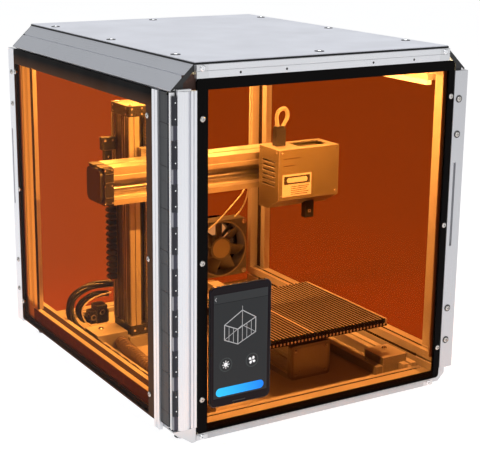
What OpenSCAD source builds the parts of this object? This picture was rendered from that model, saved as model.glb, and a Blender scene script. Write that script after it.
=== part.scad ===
// Desktop laser cutter in an amber-windowed enclosure.
// The enclosure is a box of aluminium rails with a hinged front door and a hinged left door.
// Inside stand a lifting column, a cross arm with the laser head, and a sliding slatted bed.
// Origin: centre of the footprint, on the surface that the feet stand on. Front is -Y, left is -X.

/* [Case] */
// Width of the case over its side rails
case_w = 418; // [410:1:430]
// Depth from the front door's face to the rear rails' face
case_d = 481; // [475:1:490]
// Height to the top sheet's upper face
case_h = 450; // [446:1:460]
// Height of the rubber feet
foot_h = 3; // [2:1:4]
// Thickness of the acrylic doors and panels
pane_t = 3; // [2:0.5:3.5]

/* [Frame rails] */
// Thickness of a rail's upright web
web_t = 9.5; // [9:0.5:11]
// Distance from the case's outer plane to the web's outer face
web_in = 6; // [6:0.5:7]
// Height of the top rails' web
web_top = 38; // [34:1:42]
// Height of the bottom side rails' web
web_bottom = 40.5; // [38:0.5:46]
// Width of the left rear corner post's long leg
post_leg = 45.5; // [42:0.5:50]

/* [Doors] */
// Radius of a hinge barrel
barrel_r = 3; // [2.8:0.1:3.2]
// Radius of a hinge pin
hinge_pin_r = 1.5; // [1.3:0.1:1.6]
// Vertical pitch of the hinge knuckles
knuckle_pitch = 49; // [47:0.5:49]
// Length of the knuckle that turns with a door
knuckle_door = 17; // [14:1:20]

/* [Touchscreen] */
// Width of the touchscreen body
screen_w = 84; // [78:0.5:90]
// Height of the touchscreen body
screen_h = 149; // [140:1:155]
// Thickness of the touchscreen with its glass
screen_t = 4; // [3.5:0.5:6]

/* [Machine] */
// Width of the cross arm's module seen from the front
arm_h = 50; // [48:1:54]
// Depth of the cross arm's module
arm_d = 48; // [44:1:49]
// Width of the lifting column
column_w = 60; // [56:1:64]
// Depth of the lifting column
column_d = 55; // [50:1:60]
// Width and length of the slatted bed
bed_size = 186; // [176:2:190]
// Distance between neighbouring slats of the bed
slat_pitch = 5.4; // [5:0.1:6]
// Radius of the three drive screws
drive_r = 4; // [3:0.5:4]
// Radial clearance of turning and sliding parts on their shafts
clear = 0.05; // [0.03:0.01:0.09]

/* [Laser head] */
// Width of the laser head's housing
head_w = 97; // [90:1:104]
// Depth of the laser head's housing
head_d = 49; // [45:1:52]
// Height of the laser head's housing
head_h = 84; // [80:1:90]

/* [Exhaust fan] */
// Side of the square exhaust fan
fan_size = 92; // [88:1:96]
// Depth of the exhaust fan
fan_d = 25; // [20:1:28]
// Outer radius of the duct collar
duct_r = 40; // [36:1:42]

/* [Hidden] */

$fn = 32;
hw = case_w / 2;
hd = case_d / 2;
eps = 0.01;

// Heights of the case
top_sheet_t = 1;
gasket_t = 2;
rail_top = case_h - top_sheet_t - gasket_t;
rail_low = foot_h;
flange_t = 8;
web_back = web_in + web_t;
corner_in = 29.8;
side_rail_l = 2 * (hd - 6.1);
cross_rail_l = 2 * (hw - corner_in);
block_l = 15;
facet_x = 29;
facet_z = 27;
lip_top = 15;
lip_low = 8;
web_front_low = 17;
web_front_top = 24;
box_side = 28;
box_cross = 30;
box_low = 9.8;
floor_t = 1.5;
floor_top = rail_low + flange_t + floor_t;

// Screws
head_r = 3.4;
head_t = 1.6;
shank_r = 1.5;
socket_r = 1.5;
side_screw_z = [47, 216, 385];
door_screw_z = [54, 220.5, 387];
top_screws = concat([for (x = [-1, 1], y = [-168, 3, 180]) [x * (hw - 42.5), y, case_h]],
    [[0, hd - 29, case_h], [0, 25 - hd, case_h]]);
right_screws = [for (z = side_screw_z, y = [-224, 227]) [hw - web_in + pane_t, y, z]];
rear_screws = [for (z = [60, 220.5, 387], x = [-1, 1]) [x * (hw - 22), hd - web_in + pane_t, z]];
front_block_screws = [for (x = [-1, 1], z = [rail_low + 4, rail_top - 3.7]) [x * (hw - corner_in - 7.5), -hd, z]];
rear_block_screws = [for (p = front_block_screws) [p[0], hd, p[2]]];
fan_x = 118;
fan_z = 86;
fan_hole = fan_size / 2 - 5;
fan_back = hd - web_in;
fan_front = fan_back - fan_d;
fan_screw_pts = [for (i = [-1, 1], j = [-1, 1]) [fan_x + i * fan_hole, fan_front, fan_z + j * fan_hole]];

// Doors
front_y = -hd;
front_door_x0 = -178.7;
front_door_x1 = 188.4;
front_door_z0 = 11.4;
front_door_z1 = 431.6;
left_x = -hw;
left_door_y0 = -191.4;
left_door_y1 = 232.5;
left_door_z0 = 18.5;
left_door_z1 = 416.7;
seal_t = 1.2;
flange_plate_t = 1.2;
flange_y = front_y + pane_t + seal_t;
profile_back = 5.5;
strip_z0 = 24.3;
strip_z1 = 418.5;
handle_slot_l = 110;
handle_slot_w = 4;
handle_z = 246.5;
handle_tail = 12;
front_screw_x = [-171.7, 184];
left_screw_y = [-180, 227];
strip_screw_z = [63, 107, 338, 383];
front_strip_screw_x = hw - 12.5;
left_strip_screw_y = left_door_y1 + 10;

// Hinges
hinge_a = [-hw + barrel_r, -hd + 13.5];
hinge_b = [-hw + barrel_r, -hd + barrel_r];
knuckle_z0 = 22.5;
knuckle_n = 8;
knuckle_gap = 0.4;
post_x0 = -hw + web_in;
post_x1 = -187;
post_y0 = -hd + web_in;
post_y1 = -218;
post_low = 20.5;
post_high = 419;

// Touchscreen
screen_x = -122;
screen_z = 116.4;
holder_t = 1;
glass_t = 1.1;
screen_back = front_y - holder_t;
screen_front = screen_back - screen_t;
screen_corner = 8;

// Machine
base_t = 15.5;
base_z = floor_top;
column_x = -86;
column_y = 60;
column_z0 = base_z + base_t;
column_z1 = 353;
cap_t = 15;
channel_w = 28;
channel_d = 14;
z_screw_y = column_y + 8;
arm_x0 = -185;
arm_x1 = 128;
arm_z0 = 236;
arm_y = 0;
arm_cap = 8;
arm_motor_cap = 18;
arm_bulge = 5;
arm_channel_z0 = arm_z0 + 7.5;
arm_channel_z1 = arm_z0 + 33;
x_screw_y = arm_y + 9;
x_screw_z = (arm_channel_z0 + arm_channel_z1) / 2;
head_x = 89.5;
head_front = -70;
head_top = 301;
head_low = head_top - head_h;
head_back = head_front + head_d;
head_chamfer_y = 27;
head_chamfer_z = 15;
head_wall = 2;
carriage_w = 60;
y_rail_x = 39;
y_rail_w = 62;
y_rail_y0 = -158;
y_rail_y1 = 148;
y_rail_z0 = floor_top;
y_rail_h = 47;
y_screw_z = y_rail_z0 + 38;
y_cap = 8;
bed_x = 40;
bed_y = -104;
bed_z0 = 80;
bed_t = 10.5;
nozzle_x = 102.4;
nozzle_y = -50;
nozzle_w = 14;
nozzle_d = 9;
nozzle_low = 199.5;
lens_r = 2.5;
head_fan_r = 17.5;
head_fan_z = 262;
head_fan_y = head_front + head_d / 2;
head_fan_x = head_x - head_w / 2 + head_wall + 1;
plug_x = 61.2;
plug_y = -40;
plug_h = 27;

// Cable routes
cable_r = 4.5;
wire_r = 1.2;
hose_r = 9;
hose_route = [[-132, 60.8, 23], [-135, 30, 22], [-138, -5, 22], [-141, -40, 22], [-143, -80, 22],
    [-143.5, -120, 22], [-143.5, -170, 22], [-143.5, -210.3, 22]];
loop_route = [[-106, 141, 82], [-124, 141, 84], [-142, 140, 83], [-158, 138, 79], [-170, 136, 71],
    [-176, 134, 60], [-177, 130, 49], [-175, 123, 38], [-172, 112, 31.5], [-171, 96, 29.8],
    [-171, 70, 29.8], [-171, 40, 29.8], [-171, 10, 29.8], [-171, -20, 29.8], [-171, -50, 29.8],
    [-171, -80, 29.8], [-171, -110, 29.8], [-171, -140, 29.8], [-171, -170, 29.8], [-171, -198, 29.8],
    [-171, -224.8, 29.8]];
signal_route = [[-116, 123, 75], [-130, 123, 74], [-145, 122, 71], [-157, 121, 65], [-163, 120, 56],
    [-162, 119, 45], [-155, 118, 35], [-144, 117, 28], [-132, 116.5, 25], [-121.5, 116.5, 24.5]];
fan_wire_a = [[92, 208, 120], [110, 208, 133], [128, 210, 147], [146, 214, 160], [160, 216.5, 172],
    [169, 218, 190], [173, 220, 215], [175, 221, 250], [175, 221, 300], [175, 221, 370],
    [175, 221, 438.9]];
fan_wire_b = [[145, 216, 134], [152, 216, 139], [161, 216, 150], [168, 217, 164], [172.5, 218, 185],
    [176, 219, 215], [178.4, 220, 250], [178.6, 220, 300], [178.6, 220, 370], [178.6, 220, 438.9]];
plug_top = head_top + plug_h;
hairpin_route = [[57.2, plug_y, plug_top - 2], [56.4, plug_y, plug_top + 5], [55.4, plug_y, plug_top + 11],
    [56.6, plug_y, plug_top + 17], [60.4, plug_y, plug_top + 21.5], [65.6, plug_y, plug_top + 23.3],
    [70.4, plug_y, plug_top + 21.3], [72.8, plug_y, plug_top + 16], [72, plug_y, plug_top + 9.5],
    [68.6, plug_y, plug_top + 4], [65.2, plug_y, plug_top - 2]];

// ---------- helpers ----------

// Cuboid between two opposite corners
module block(lo, hi) {
    translate(lo) cube(hi - lo);
}

// Rod between two points on a line parallel to an axis: "x", "y" or "z"
module rod(axis, r, p, l, fn = 32) {
    turn = axis == "x" ? [0, 90, 0] : axis == "y" ? [-90, 0, 0] : [0, 0, 0];
    translate(p) rotate(turn) cylinder(r = r, h = l, $fn = fn);
}

// 2D shape in (x, z) drawn out along Y, centred
module along_y(l) {
    rotate([90, 0, 0]) linear_extrude(height = l, center = true) children();
}

// 2D shape in (y, z) drawn out along X, centred
module along_x(l) {
    rotate([90, 0, 90]) linear_extrude(height = l, center = true) children();
}

// Rectangle with round corners
module round_rect(w, h, r) {
    union() {
        square([w - 2 * r, h], center = true);
        square([w, h - 2 * r], center = true);
        for (i = [-1, 1], j = [-1, 1])
            translate([i * (w / 2 - r), j * (h / 2 - r)]) circle(r = r);
    }
}

// T-slot that opens towards -x at the origin
module t_slot() {
    translate([-0.1, -2]) square([2, 4]);
    translate([1.8, -3.5]) square([3, 7]);
}

// Button-head screw, head up, its seat at the origin
module screw(l) {
    difference() {
        union() {
            cylinder(r = head_r, h = head_t * 0.55);
            translate([0, 0, head_t * 0.55]) cylinder(r1 = head_r, r2 = head_r * 0.72, h = head_t * 0.45);
            translate([0, 0, -l]) cylinder(r = shank_r, h = l + eps);
        }
        translate([0, 0, head_t * 0.4]) cylinder(r = socket_r, h = head_t, $fn = 6);
    }
}

// Places children at each point, their +Z turned to face out along an axis
module at(points, axis) {
    turn = axis == "+x" ? [0, 90, 0] : axis == "-x" ? [0, -90, 0]
        : axis == "+y" ? [-90, 0, 0] : axis == "-y" ? [90, 0, 0] : [0, 0, 0];
    for (p = points) translate(p) rotate(turn) children();
}

// Hole for a screw's shank
module shank_hole(l) {
    translate([0, 0, -l]) cylinder(r = shank_r, h = l + 5);
}

function unit(v) = v / norm(v);
function tangent(p, i) = unit(p[min(i + 1, len(p) - 1)] - p[max(i - 1, 0)]);

function square_to(v, t) = unit(v - (v * t) * t);

// Round tube swept along points; its first ring is set out from ref, the rest follow without twist
module tube(p, r, ref, sides = 10) {
    n = len(p);
    across = [for (i = 0, u = square_to(ref, tangent(p, 0)); i < n; i = i + 1,
        u = i < n ? square_to(u, tangent(p, i)) : u) u];
    pts = [for (i = [0:n - 1]) let (u = across[i], v = cross(tangent(p, i), u)) for (k = [0:sides - 1])
        p[i] + r * (cos(360 * k / sides) * u + sin(360 * k / sides) * v)];
    side_faces = [for (i = [0:n - 2], k = [0:sides - 1])
        [(i + 1) * sides + k, (i + 1) * sides + (k + 1) % sides, i * sides + (k + 1) % sides, i * sides + k]];
    first_cap = [for (k = [0:sides - 1]) k];
    last_cap = [for (k = [sides - 1:-1:0]) (n - 1) * sides + k];
    polyhedron(points = pts, faces = concat(side_faces, [first_cap, last_cap]));
}

// ---------- frame ----------

// Upper side rail's section: a is the distance in from the outer plane, b down from the top
module side_top_section() {
    difference() {
        polygon([[corner_in, 0], [facet_x, 0], [17.4, 10.8], [18.2, 11.7], [17, 12.8], [16.2, 11.9],
            [0, facet_z], [1.4, facet_z + 1.4], [web_in, facet_z - 2.8], [web_in, web_top],
            [web_back, web_top], [web_back, 20], [28.4, flange_t], [corner_in, flange_t]]);
        translate([web_back, 25.5]) rotate(180) t_slot();
    }
}

// Room under the upper rail's facet for the hinge post's head
module side_top_notch() {
    polygon([[3.4, facet_z], [25.5, 6.6], [60, 6.6], [60, 60], [3.4, 60]]);
}

// Lower side rail's section: b is the height above its underside
module side_low_section() {
    difference() {
        polygon([[corner_in, 0], [16, 0], [web_in, 10], [web_in, web_bottom], [box_side, web_bottom],
            [box_side, box_low], [web_back, box_low], [web_back, flange_t], [corner_in, flange_t]]);
        translate([19.5, web_bottom]) rotate(-90) t_slot();
        translate([box_side, 28]) rotate(180) t_slot();
    }
}

// Cross rail's section: lip_h is the height of the face beside the door, web_h of the web
module cross_section(lip_h, web_h, slot_b) {
    difference() {
        polygon([[0, 0], [0, 6.2], [1, 6.2], [1, 7.2], [0, 7.2], [0, lip_h], [web_in, lip_h],
            [web_in, web_h], [web_back, web_h], [web_back, flange_t], [36, flange_t], [36, 0]]);
        translate([web_back, slot_b]) rotate(180) t_slot();
    }
}

// Lower cross rail's section, with a groove along the top of its box
module cross_low_section() {
    difference() {
        polygon([[0, 0], [0, 6.2], [1, 6.2], [1, 7.2], [0, 7.2], [0, lip_low], [web_in, lip_low],
            [web_in, web_front_low], [box_cross, web_front_low], [box_cross, box_low],
            [web_back, box_low], [web_back, flange_t], [36, flange_t], [36, 0]]);
        translate([21, web_front_low - 2.5]) square([3, 3]);
    }
}

module top_side_rail() {
    translate([hw, 0, rail_top]) along_y(side_rail_l) rotate(180) side_top_section();
    block([hw - 48, 37 - hd, rail_top - flange_t], [hw - corner_in + eps, hd - 37, rail_top]);
}

module low_side_rail() {
    translate([hw, 0, rail_low]) along_y(side_rail_l) mirror([1, 0]) side_low_section();
}

module case_holes() {
    at(top_screws, "+z") shank_hole(8);
    at(right_screws, "+x") shank_hole(8);
    at(rear_screws, "+y") shank_hole(8);
    at(front_block_screws, "-y") shank_hole(5);
    at(rear_block_screws, "+y") shank_hole(5);
}

module top_cross_rail() {
    difference() {
        translate([0, -hd, rail_top]) along_x(cross_rail_l - 2 * block_l) mirror([0, 1])
            cross_section(lip_top, web_front_top, 16);
        for (x = [-123, -61.5, 61.5, 123]) rod("y", 1.5, [x, -hd - 1, rail_top - 11], 3);
        case_holes();
    }
}

module low_cross_rail() {
    translate([0, -hd, rail_low]) along_x(cross_rail_l - 2 * block_l) cross_low_section();
}

module bottom_rail_left() {
    color("gainsboro") difference() {
        mirror([1, 0, 0]) low_side_rail();
        block([-hw - 1, -hd - 1, post_low - 0.4], [-hw + corner_in + 1, post_y1 + 1, 60]);
        block([-hw - 1, -hd - 1, 0], [-hw + corner_in + 1, web_back - hd + 0.2, 60]);
    }
}

module bottom_rail_right() {
    color("gainsboro") difference() {
        low_side_rail();
        case_holes();
    }
}

module bottom_rail_front() {
    color("whitesmoke") low_cross_rail();
}

module bottom_rail_rear() {
    color("gainsboro") difference() {
        mirror([0, 1, 0]) low_cross_rail();
        case_holes();
    }
}

module top_rail_left() {
    color("lightsteelblue") difference() {
        mirror([1, 0, 0]) top_side_rail();
        translate([0, (-hd + post_y1 + 1) / 2, 0]) mirror([1, 0, 0]) translate([hw, 0, rail_top])
            along_y(hd + post_y1 + 1) rotate(180) side_top_notch();
        case_holes();
    }
}

module top_rail_right() {
    color("lightsteelblue") difference() {
        top_side_rail();
        case_holes();
    }
}

module top_rail_front() {
    color("whitesmoke") top_cross_rail();
}

module top_rail_rear() {
    color("whitesmoke") difference() {
        mirror([0, 1, 0]) top_cross_rail();
        case_holes();
    }
}

// L-shaped post for the right rear corner, seen from above; leg is the length of its long leg
module post_section(leg) {
    difference() {
        polygon([[hw - web_in, hd - web_in], [hw - web_in, hd - web_in - leg],
            [hw - web_back, hd - web_in - leg], [hw - web_back, hd - web_back],
            [hw - 28, hd - web_back], [hw - 28, hd - web_in]]);
        translate([hw - web_back - 0.1, hd - 26]) square([5.1, 10.5]);
        if (leg > 40) translate([hw - web_in - 3, hd - 41.5]) square([3.1, 10]);
    }
}

module corner_posts() {
    z0 = rail_low + web_bottom + 0.2;
    z1 = rail_top - web_top - 0.2;
    color("gainsboro") difference() {
        for (m = [[0, 0, 32], [1, 0, post_leg], [0, 1, 36]])
            mirror([m[0], 0, 0]) mirror([0, m[1], 0])
                translate([0, 0, z0]) linear_extrude(height = z1 - z0) post_section(m[2]);
        case_holes();
    }
}

// Knuckles on one hinge axis. door = true gives the ones that turn with the door
module knuckles(axis, door) {
    for (i = [0:knuckle_n - 1]) {
        z = knuckle_z0 + i * knuckle_pitch;
        low = door ? z : z + knuckle_door;
        high = door ? z + knuckle_door : z + knuckle_pitch;
        translate([axis[0], axis[1], low + knuckle_gap / 2])
            cylinder(r = barrel_r, h = high - low - knuckle_gap);
    }
}

// Flat webs at the same heights as the knuckles
module knuckle_webs(lo, hi, door) {
    for (i = [0:knuckle_n - 1]) {
        z = knuckle_z0 + i * knuckle_pitch;
        low = door ? z : z + knuckle_door;
        high = door ? z + knuckle_door : z + knuckle_pitch;
        block([lo[0], lo[1], low + knuckle_gap / 2], [hi[0], hi[1], high - knuckle_gap / 2]);
    }
}

module pin_bores(r) {
    for (p = [hinge_a, hinge_b]) rod("z", r, [p[0], p[1], 0], case_h);
}

module hinge_post() {
    color("gainsboro") difference() {
        union() {
            block([post_x0, post_y0, post_low], [post_x1, post_y1, post_high]);
            block([-hw + 0.4, post_y0 + 0.6, post_low], [post_x0 + eps, post_y0 + 3.4, post_high - 1]);
            knuckles(hinge_a, false);
            knuckles(hinge_b, false);
            knuckle_webs([hinge_a[0], hinge_a[1] - 1.5], [post_x0 + 1, hinge_a[1] + 1.5], false);
            knuckle_webs([hinge_b[0] - 1.5, hinge_b[1]], [hinge_b[0] + 1.5, post_y0 + 1], false);
        }
        pin_bores(hinge_pin_r);
        translate([post_x1, (post_y0 + post_y1) / 2, post_low - 1]) linear_extrude(height = 402)
            rotate(180) t_slot();
    }
}

module hinge_pins() {
    color("silver") for (p = [hinge_a, hinge_b])
        rod("z", hinge_pin_r, [p[0], p[1], knuckle_z0], knuckle_n * knuckle_pitch - knuckle_gap);
}

module corner_blocks() {
    color("white") difference() {
        union() {
            for (i = [-1, 1], m = [0, 1]) mirror([0, m, 0]) {
                translate([i * (hw - corner_in - block_l / 2), -hd, rail_top]) along_x(block_l - 0.3)
                    mirror([0, 1]) cross_section(lip_top, web_front_top, 16);
                translate([i * (hw - corner_in - block_l / 2), -hd, rail_low]) along_x(block_l - 0.3)
                    cross_low_section();
            }
            block([post_x0 + 0.3, -hd, post_high + 0.3], [-186, -218.5, post_high + 2.3]);
            translate([0, -hd + 8, 0]) along_y(14.6) polygon([[-hw, post_low - 0.4],
                [-hw, post_low - 2], [-185, foot_h - 1.5], [-hw + corner_in - 0.2, foot_h - 1.5],
                [-hw + corner_in - 0.2, post_low - 0.4]]);
        }
        case_holes();
        rod("z", 1.6, [-193, -hd + 12, post_high], 5);
    }
}

module case_screws() {
    color("silver") {
        at(top_screws, "+z") screw(7);
        at(right_screws, "+x") screw(7);
        at(rear_screws, "+y") screw(7);
        at(front_block_screws, "-y") screw(4);
        at(rear_block_screws, "+y") screw(4);
        at(fan_screw_pts, "-y") screw(4);
    }
}

module floor_panel() {
    color("tan") block([-hw + web_back + 0.3, -hd + web_back + 0.3, rail_low + flange_t],
        [hw - web_back - 0.3, hd - web_back - 0.3, floor_top]);
}

module floor_rails() {
    color("khaki") for (i = [-1, 1]) translate([i * 164.5, 0, floor_top])
        along_y(2 * (hd - box_cross) - 1) difference() {
            translate([-10.5, 0]) square([21, 12.5]);
            translate([0, 12.5]) rotate(-90) t_slot();
        }
}

module feet() {
    color("dimgray") for (i = [-1, 1], j = [-1, 1])
        translate([i * (hw - 23), j * 212, 0]) cylinder(r = 6.5, h = foot_h);
}

module sheet_outline(grow) {
    square([2 * (hw - facet_x) + 2 * grow - 1.4, 2 * (hd - 4.6) + 2 * grow], center = true);
}

module top_panel() {
    color("lightsteelblue") difference() {
        translate([0, 0, case_h - top_sheet_t]) linear_extrude(height = top_sheet_t) sheet_outline(0);
        case_holes();
    }
}

module top_gasket() {
    color("black") difference() {
        translate([0, 0, rail_top]) linear_extrude(height = gasket_t) difference() {
            sheet_outline(0.7);
            square([2 * (hw - 40), 2 * (hd - 30)], center = true);
        }
        case_holes();
    }
}

module right_panel() {
    color([0.75, 0.3, 0.05, 0.6]) difference() {
        block([hw - web_in, -hd + 13, left_door_z0], [hw - web_in + pane_t, left_door_y1, left_door_z1]);
        case_holes();
    }
}

module rear_panel() {
    x1 = hw - web_back - 0.5;
    color([0.75, 0.3, 0.05, 0.6]) difference() {
        block([-x1, fan_back, front_door_z0], [x1, fan_back + pane_t, front_door_z1]);
        rod("y", fan_size / 2 - 4, [fan_x, fan_back - 1, fan_z], 10, 64);
        case_holes();
    }
}

module led_strips() {
    color("lightyellow") {
        for (m = [0, 1]) mirror([0, m, 0])
            block([-140, web_back + 3 - hd, rail_top - flange_t - 1.6], [140, web_back + 11 - hd, rail_top - flange_t]);
    }
}

// ---------- exhaust fan ----------

fan_bore = fan_size / 2 - 3;
fan_hub_r = 18.5;
fan_shaft_r = 2;

module fan_frame() {
    color("dimgray") difference() {
        union() {
            difference() {
                translate([fan_x, fan_back, fan_z]) rotate([90, 0, 0]) linear_extrude(height = fan_d)
                    round_rect(fan_size, fan_size, 5);
                rod("y", fan_bore, [fan_x, fan_front - 1, fan_z], fan_d + 2, 64);
            }
            intersection() {
                union() {
                    for (t = [45, 135])
                        translate([fan_x, fan_back - 1.5, fan_z]) rotate([0, t, 0])
                            cube([5, 3, 2 * fan_bore + 1], center = true);
                    rod("y", 17, [fan_x, fan_back - 4, fan_z], 4);
                }
                rod("y", fan_bore + 0.4, [fan_x, fan_front, fan_z], fan_d, 64);
            }
        }
        rod("y", fan_shaft_r + clear, [fan_x, fan_front, fan_z], fan_d + 1);
        at(fan_screw_pts, "-y") shank_hole(4);
    }
}

module fan_rotor() {
    color("gray") {
        rod("y", fan_hub_r, [fan_x, fan_front + 1, fan_z], 18, 48);
        rod("y", fan_shaft_r, [fan_x, fan_front + 18, fan_z], fan_d - 18.5);
        difference() {
            intersection() {
                for (i = [0:6])
                    translate([fan_x, fan_front + 10, fan_z]) rotate([0, i * 360 / 7, 0])
                        translate([0, 0, 28]) rotate([0, 0, 38]) cube([24, 1.8, 32], center = true);
                rod("y", fan_bore - 1.2, [fan_x, fan_front + 1.5, fan_z], 17, 64);
            }
            rod("y", fan_hub_r - 1, [fan_x, fan_front, fan_z], fan_d, 48);
        }
    }
}

module duct_collar() {
    color("dimgray") difference() {
        union() {
            rod("y", duct_r + 8, [fan_x, fan_back + pane_t, fan_z], 2.4, 64);
            rod("y", duct_r, [fan_x, fan_back + pane_t, fan_z], web_in - pane_t + handle_tail, 64);
        }
        rod("y", duct_r - 2, [fan_x, fan_back, fan_z], 30, 64);
    }
}

// ---------- doors ----------

module door_holes() {
    at([for (x = front_screw_x, z = door_screw_z) [x, front_y, z]], "-y") shank_hole(6);
    at([for (y = left_screw_y, z = side_screw_z) [left_x, y, z]], "-x") shank_hole(6);
}

module front_door_panel() {
    w = front_door_x1 - front_door_x0;
    h = front_door_z1 - front_door_z0;
    color([0.8, 0.35, 0.05, 0.5]) difference() {
        translate([(front_door_x0 + front_door_x1) / 2, front_y + pane_t, (front_door_z0 + front_door_z1) / 2])
            rotate([90, 0, 0]) linear_extrude(height = pane_t) round_rect(w, h, 5);
        door_holes();
    }
}

module front_door_seal() {
    w = front_door_x1 - front_door_x0 - 1;
    h = front_door_z1 - front_door_z0 - 1;
    color("black") difference() {
        translate([(front_door_x0 + front_door_x1) / 2, flange_y, (front_door_z0 + front_door_z1) / 2])
            rotate([90, 0, 0]) linear_extrude(height = seal_t) difference() {
                round_rect(w, h, 4.5);
                round_rect(w - 18, h - 18, 3);
            }
        door_holes();
    }
}

// The hinge side of the front door: a bulged face, two flat strips and a flange behind the pane
module front_door_profile() {
    bulge_n = 8;
    bulge_x0 = -202.4;
    bulge_x1 = -187;
    bulge = [for (i = [0:bulge_n]) let (s = i / bulge_n)
        [bulge_x0 + s * (bulge_x1 - bulge_x0), front_y + 1.4 - 2.2 * sin(180 * s)]];
    back = front_y + profile_back;
    color("white") difference() {
        union() {
            translate([0, 0, post_low]) linear_extrude(height = post_high - post_low) polygon(concat(
                [[bulge_x0, back]], bulge,
                [[-187, front_y + 2], [-186.4, front_y + 2], [-186.4, front_y - 0.6], [-183.3, front_y - 0.6],
                [-183.3, front_y + 1.2], [-182.5, front_y + 1.2], [-182.5, front_y - 0.6],
                [front_door_x0 - 0.3, front_y - 0.6], [front_door_x0 - 0.3, flange_y],
                [-164, flange_y], [-164, back], [bulge_x0, back]]));
            knuckles(hinge_b, true);
            knuckle_webs([hinge_b[0], hinge_b[1] - 1.9], [bulge_x0 + 1, hinge_b[1] + 1.9], true);
        }
        pin_bores(hinge_pin_r + clear);
        door_holes();
    }
}

// Pull strip with a finger slot and four round screws' seats
module front_door_handle() {
    color("white") difference() {
        union() {
            block([front_door_x1 + 0.3, front_y - 1.2, strip_z0], [hw, front_y + profile_back, strip_z1]);
            block([front_door_x1 - 14, flange_y, strip_z0 + 16], [front_door_x1 + 1, flange_y + flange_plate_t, strip_z1]);
        }
        block([front_strip_screw_x - handle_slot_w / 2 - 1, front_y - 2, handle_z - handle_slot_l / 2],
            [front_strip_screw_x + handle_slot_w / 2 - 1, front_y + 3, handle_z + handle_slot_l / 2]);
        at([for (z = strip_screw_z) [front_strip_screw_x, front_y - 1.2, z]], "-y") shank_hole(4);
        door_holes();
    }
}

module front_door_screws() {
    color("silver") {
        at([for (x = front_screw_x, z = door_screw_z) [x, front_y, z]], "-y") screw(profile_back - 0.1);
        at([for (z = strip_screw_z) [front_strip_screw_x, front_y - 1.2, z]], "-y") screw(4);
    }
}

module left_pane(w_in, h_in, r, x, t) {
    w = left_door_y1 - left_door_y0 - w_in;
    h = left_door_z1 - left_door_z0 - h_in;
    translate([x, (left_door_y0 + left_door_y1) / 2, (left_door_z0 + left_door_z1) / 2])
        rotate([90, 0, 90]) linear_extrude(height = t) round_rect(w, h, r);
}

module left_door_panel() {
    color([0.8, 0.35, 0.05, 0.5]) difference() {
        left_pane(0, 0, 5, left_x, pane_t);
        door_holes();
    }
}

module left_door_seal() {
    color("black") difference() {
        left_pane(1, 1, 4.5, left_x + pane_t, seal_t);
        left_pane(16, 16, 3, left_x + pane_t - 1, seal_t + 2);
        door_holes();
    }
}

// Front edge of the left door: two flat strips beside the pane and a flange behind it
module left_door_profile() {
    back = left_x + profile_back;
    fx = left_x + pane_t + seal_t;
    color("whitesmoke") difference() {
        translate([0, 0, left_door_z0 - 8]) linear_extrude(height = 406.5) polygon([
            [back, -205], [left_x - 0.6, -205], [left_x - 0.6, -198.8], [left_x + 1.2, -198.8],
            [left_x + 1.2, -198], [left_x - 0.6, -198], [left_x - 0.6, left_door_y0 - 0.3],
            [fx, left_door_y0 - 0.3], [fx, -176], [back, -176]]);
        block([back - 1.4, -206, 0], [back + 1, -170, 26]);
        door_holes();
    }
}

// Dark leaf that joins the left door's front edge to its knuckles
module left_hinge_leaf() {
    color("dimgray") difference() {
        union() {
            block([left_x + 1.6, hinge_a[1] + barrel_r + 0.4, post_low + 0.2],
                [left_x + profile_back, -205.1, left_door_z1]);
            knuckles(hinge_a, true);
            knuckle_webs([hinge_a[0] - 1.2, hinge_a[1]], [hinge_a[0] + 2.3, hinge_a[1] + barrel_r + 1], true);
        }
        pin_bores(hinge_pin_r + clear);
    }
}

module left_door_handle() {
    y0 = left_door_y1 + 0.3;
    y1 = hd + handle_tail;
    color("whitesmoke") difference() {
        union() {
            block([left_x, y0, strip_z0 - 10], [left_x + profile_back, y1, strip_z1 - 2]);
            block([left_x + pane_t + seal_t, left_door_y1 - 14, 56], [left_x + profile_back, y0 + 1, 408]);
        }
        block([left_x - 2, left_strip_screw_y - handle_slot_w / 2 + 5, handle_z - handle_slot_l / 2],
            [left_x + 3.5, left_strip_screw_y + handle_slot_w / 2 + 5, handle_z + handle_slot_l / 2]);
        at([for (z = strip_screw_z) [left_x, left_strip_screw_y, z]], "-x") shank_hole(4);
        door_holes();
    }
}

module left_door_screws() {
    color("silver") {
        at([for (y = left_screw_y, z = side_screw_z) [left_x, y, z]], "-x") screw(profile_back - 0.1);
        at([for (z = strip_screw_z) [left_x, left_strip_screw_y, z]], "-x") screw(4);
    }
}

// ---------- touchscreen ----------

module screen_plate(w, h, y, t, r) {
    translate([screen_x, y, screen_z]) rotate([90, 0, 0]) linear_extrude(height = t) round_rect(w, h, r);
}

module touchscreen_body() {
    color("black") screen_plate(screen_w, screen_h, screen_back, screen_t - glass_t, screen_corner);
}

module touchscreen_glass() {
    color("darkslategray") screen_plate(screen_w - 1.6, screen_h - 1.6, screen_front + glass_t, glass_t,
        screen_corner - 0.8);
}

module touchscreen_holder() {
    color("dimgray") screen_plate(screen_w - 24, screen_h - 40, front_y, holder_t, 5);
}

// ---------- machine ----------

module base_frame() {
    color("orange") {
        block([column_x - 34, column_y - 5, base_z], [column_x + 36, column_y + 60, column_z0]);
        block([column_x + 36 - eps, column_y + 10, base_z], [y_rail_x - y_rail_w / 2 - 0.2, column_y + 45, column_z0]);
        block([y_rail_x + y_rail_w / 2 + 0.2, column_y + 10, base_z], [127, column_y + 45, column_z0]);
        block([117, -200, base_z], [127, column_y + 10 + eps, base_z + 12.5]);
    }
}

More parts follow.
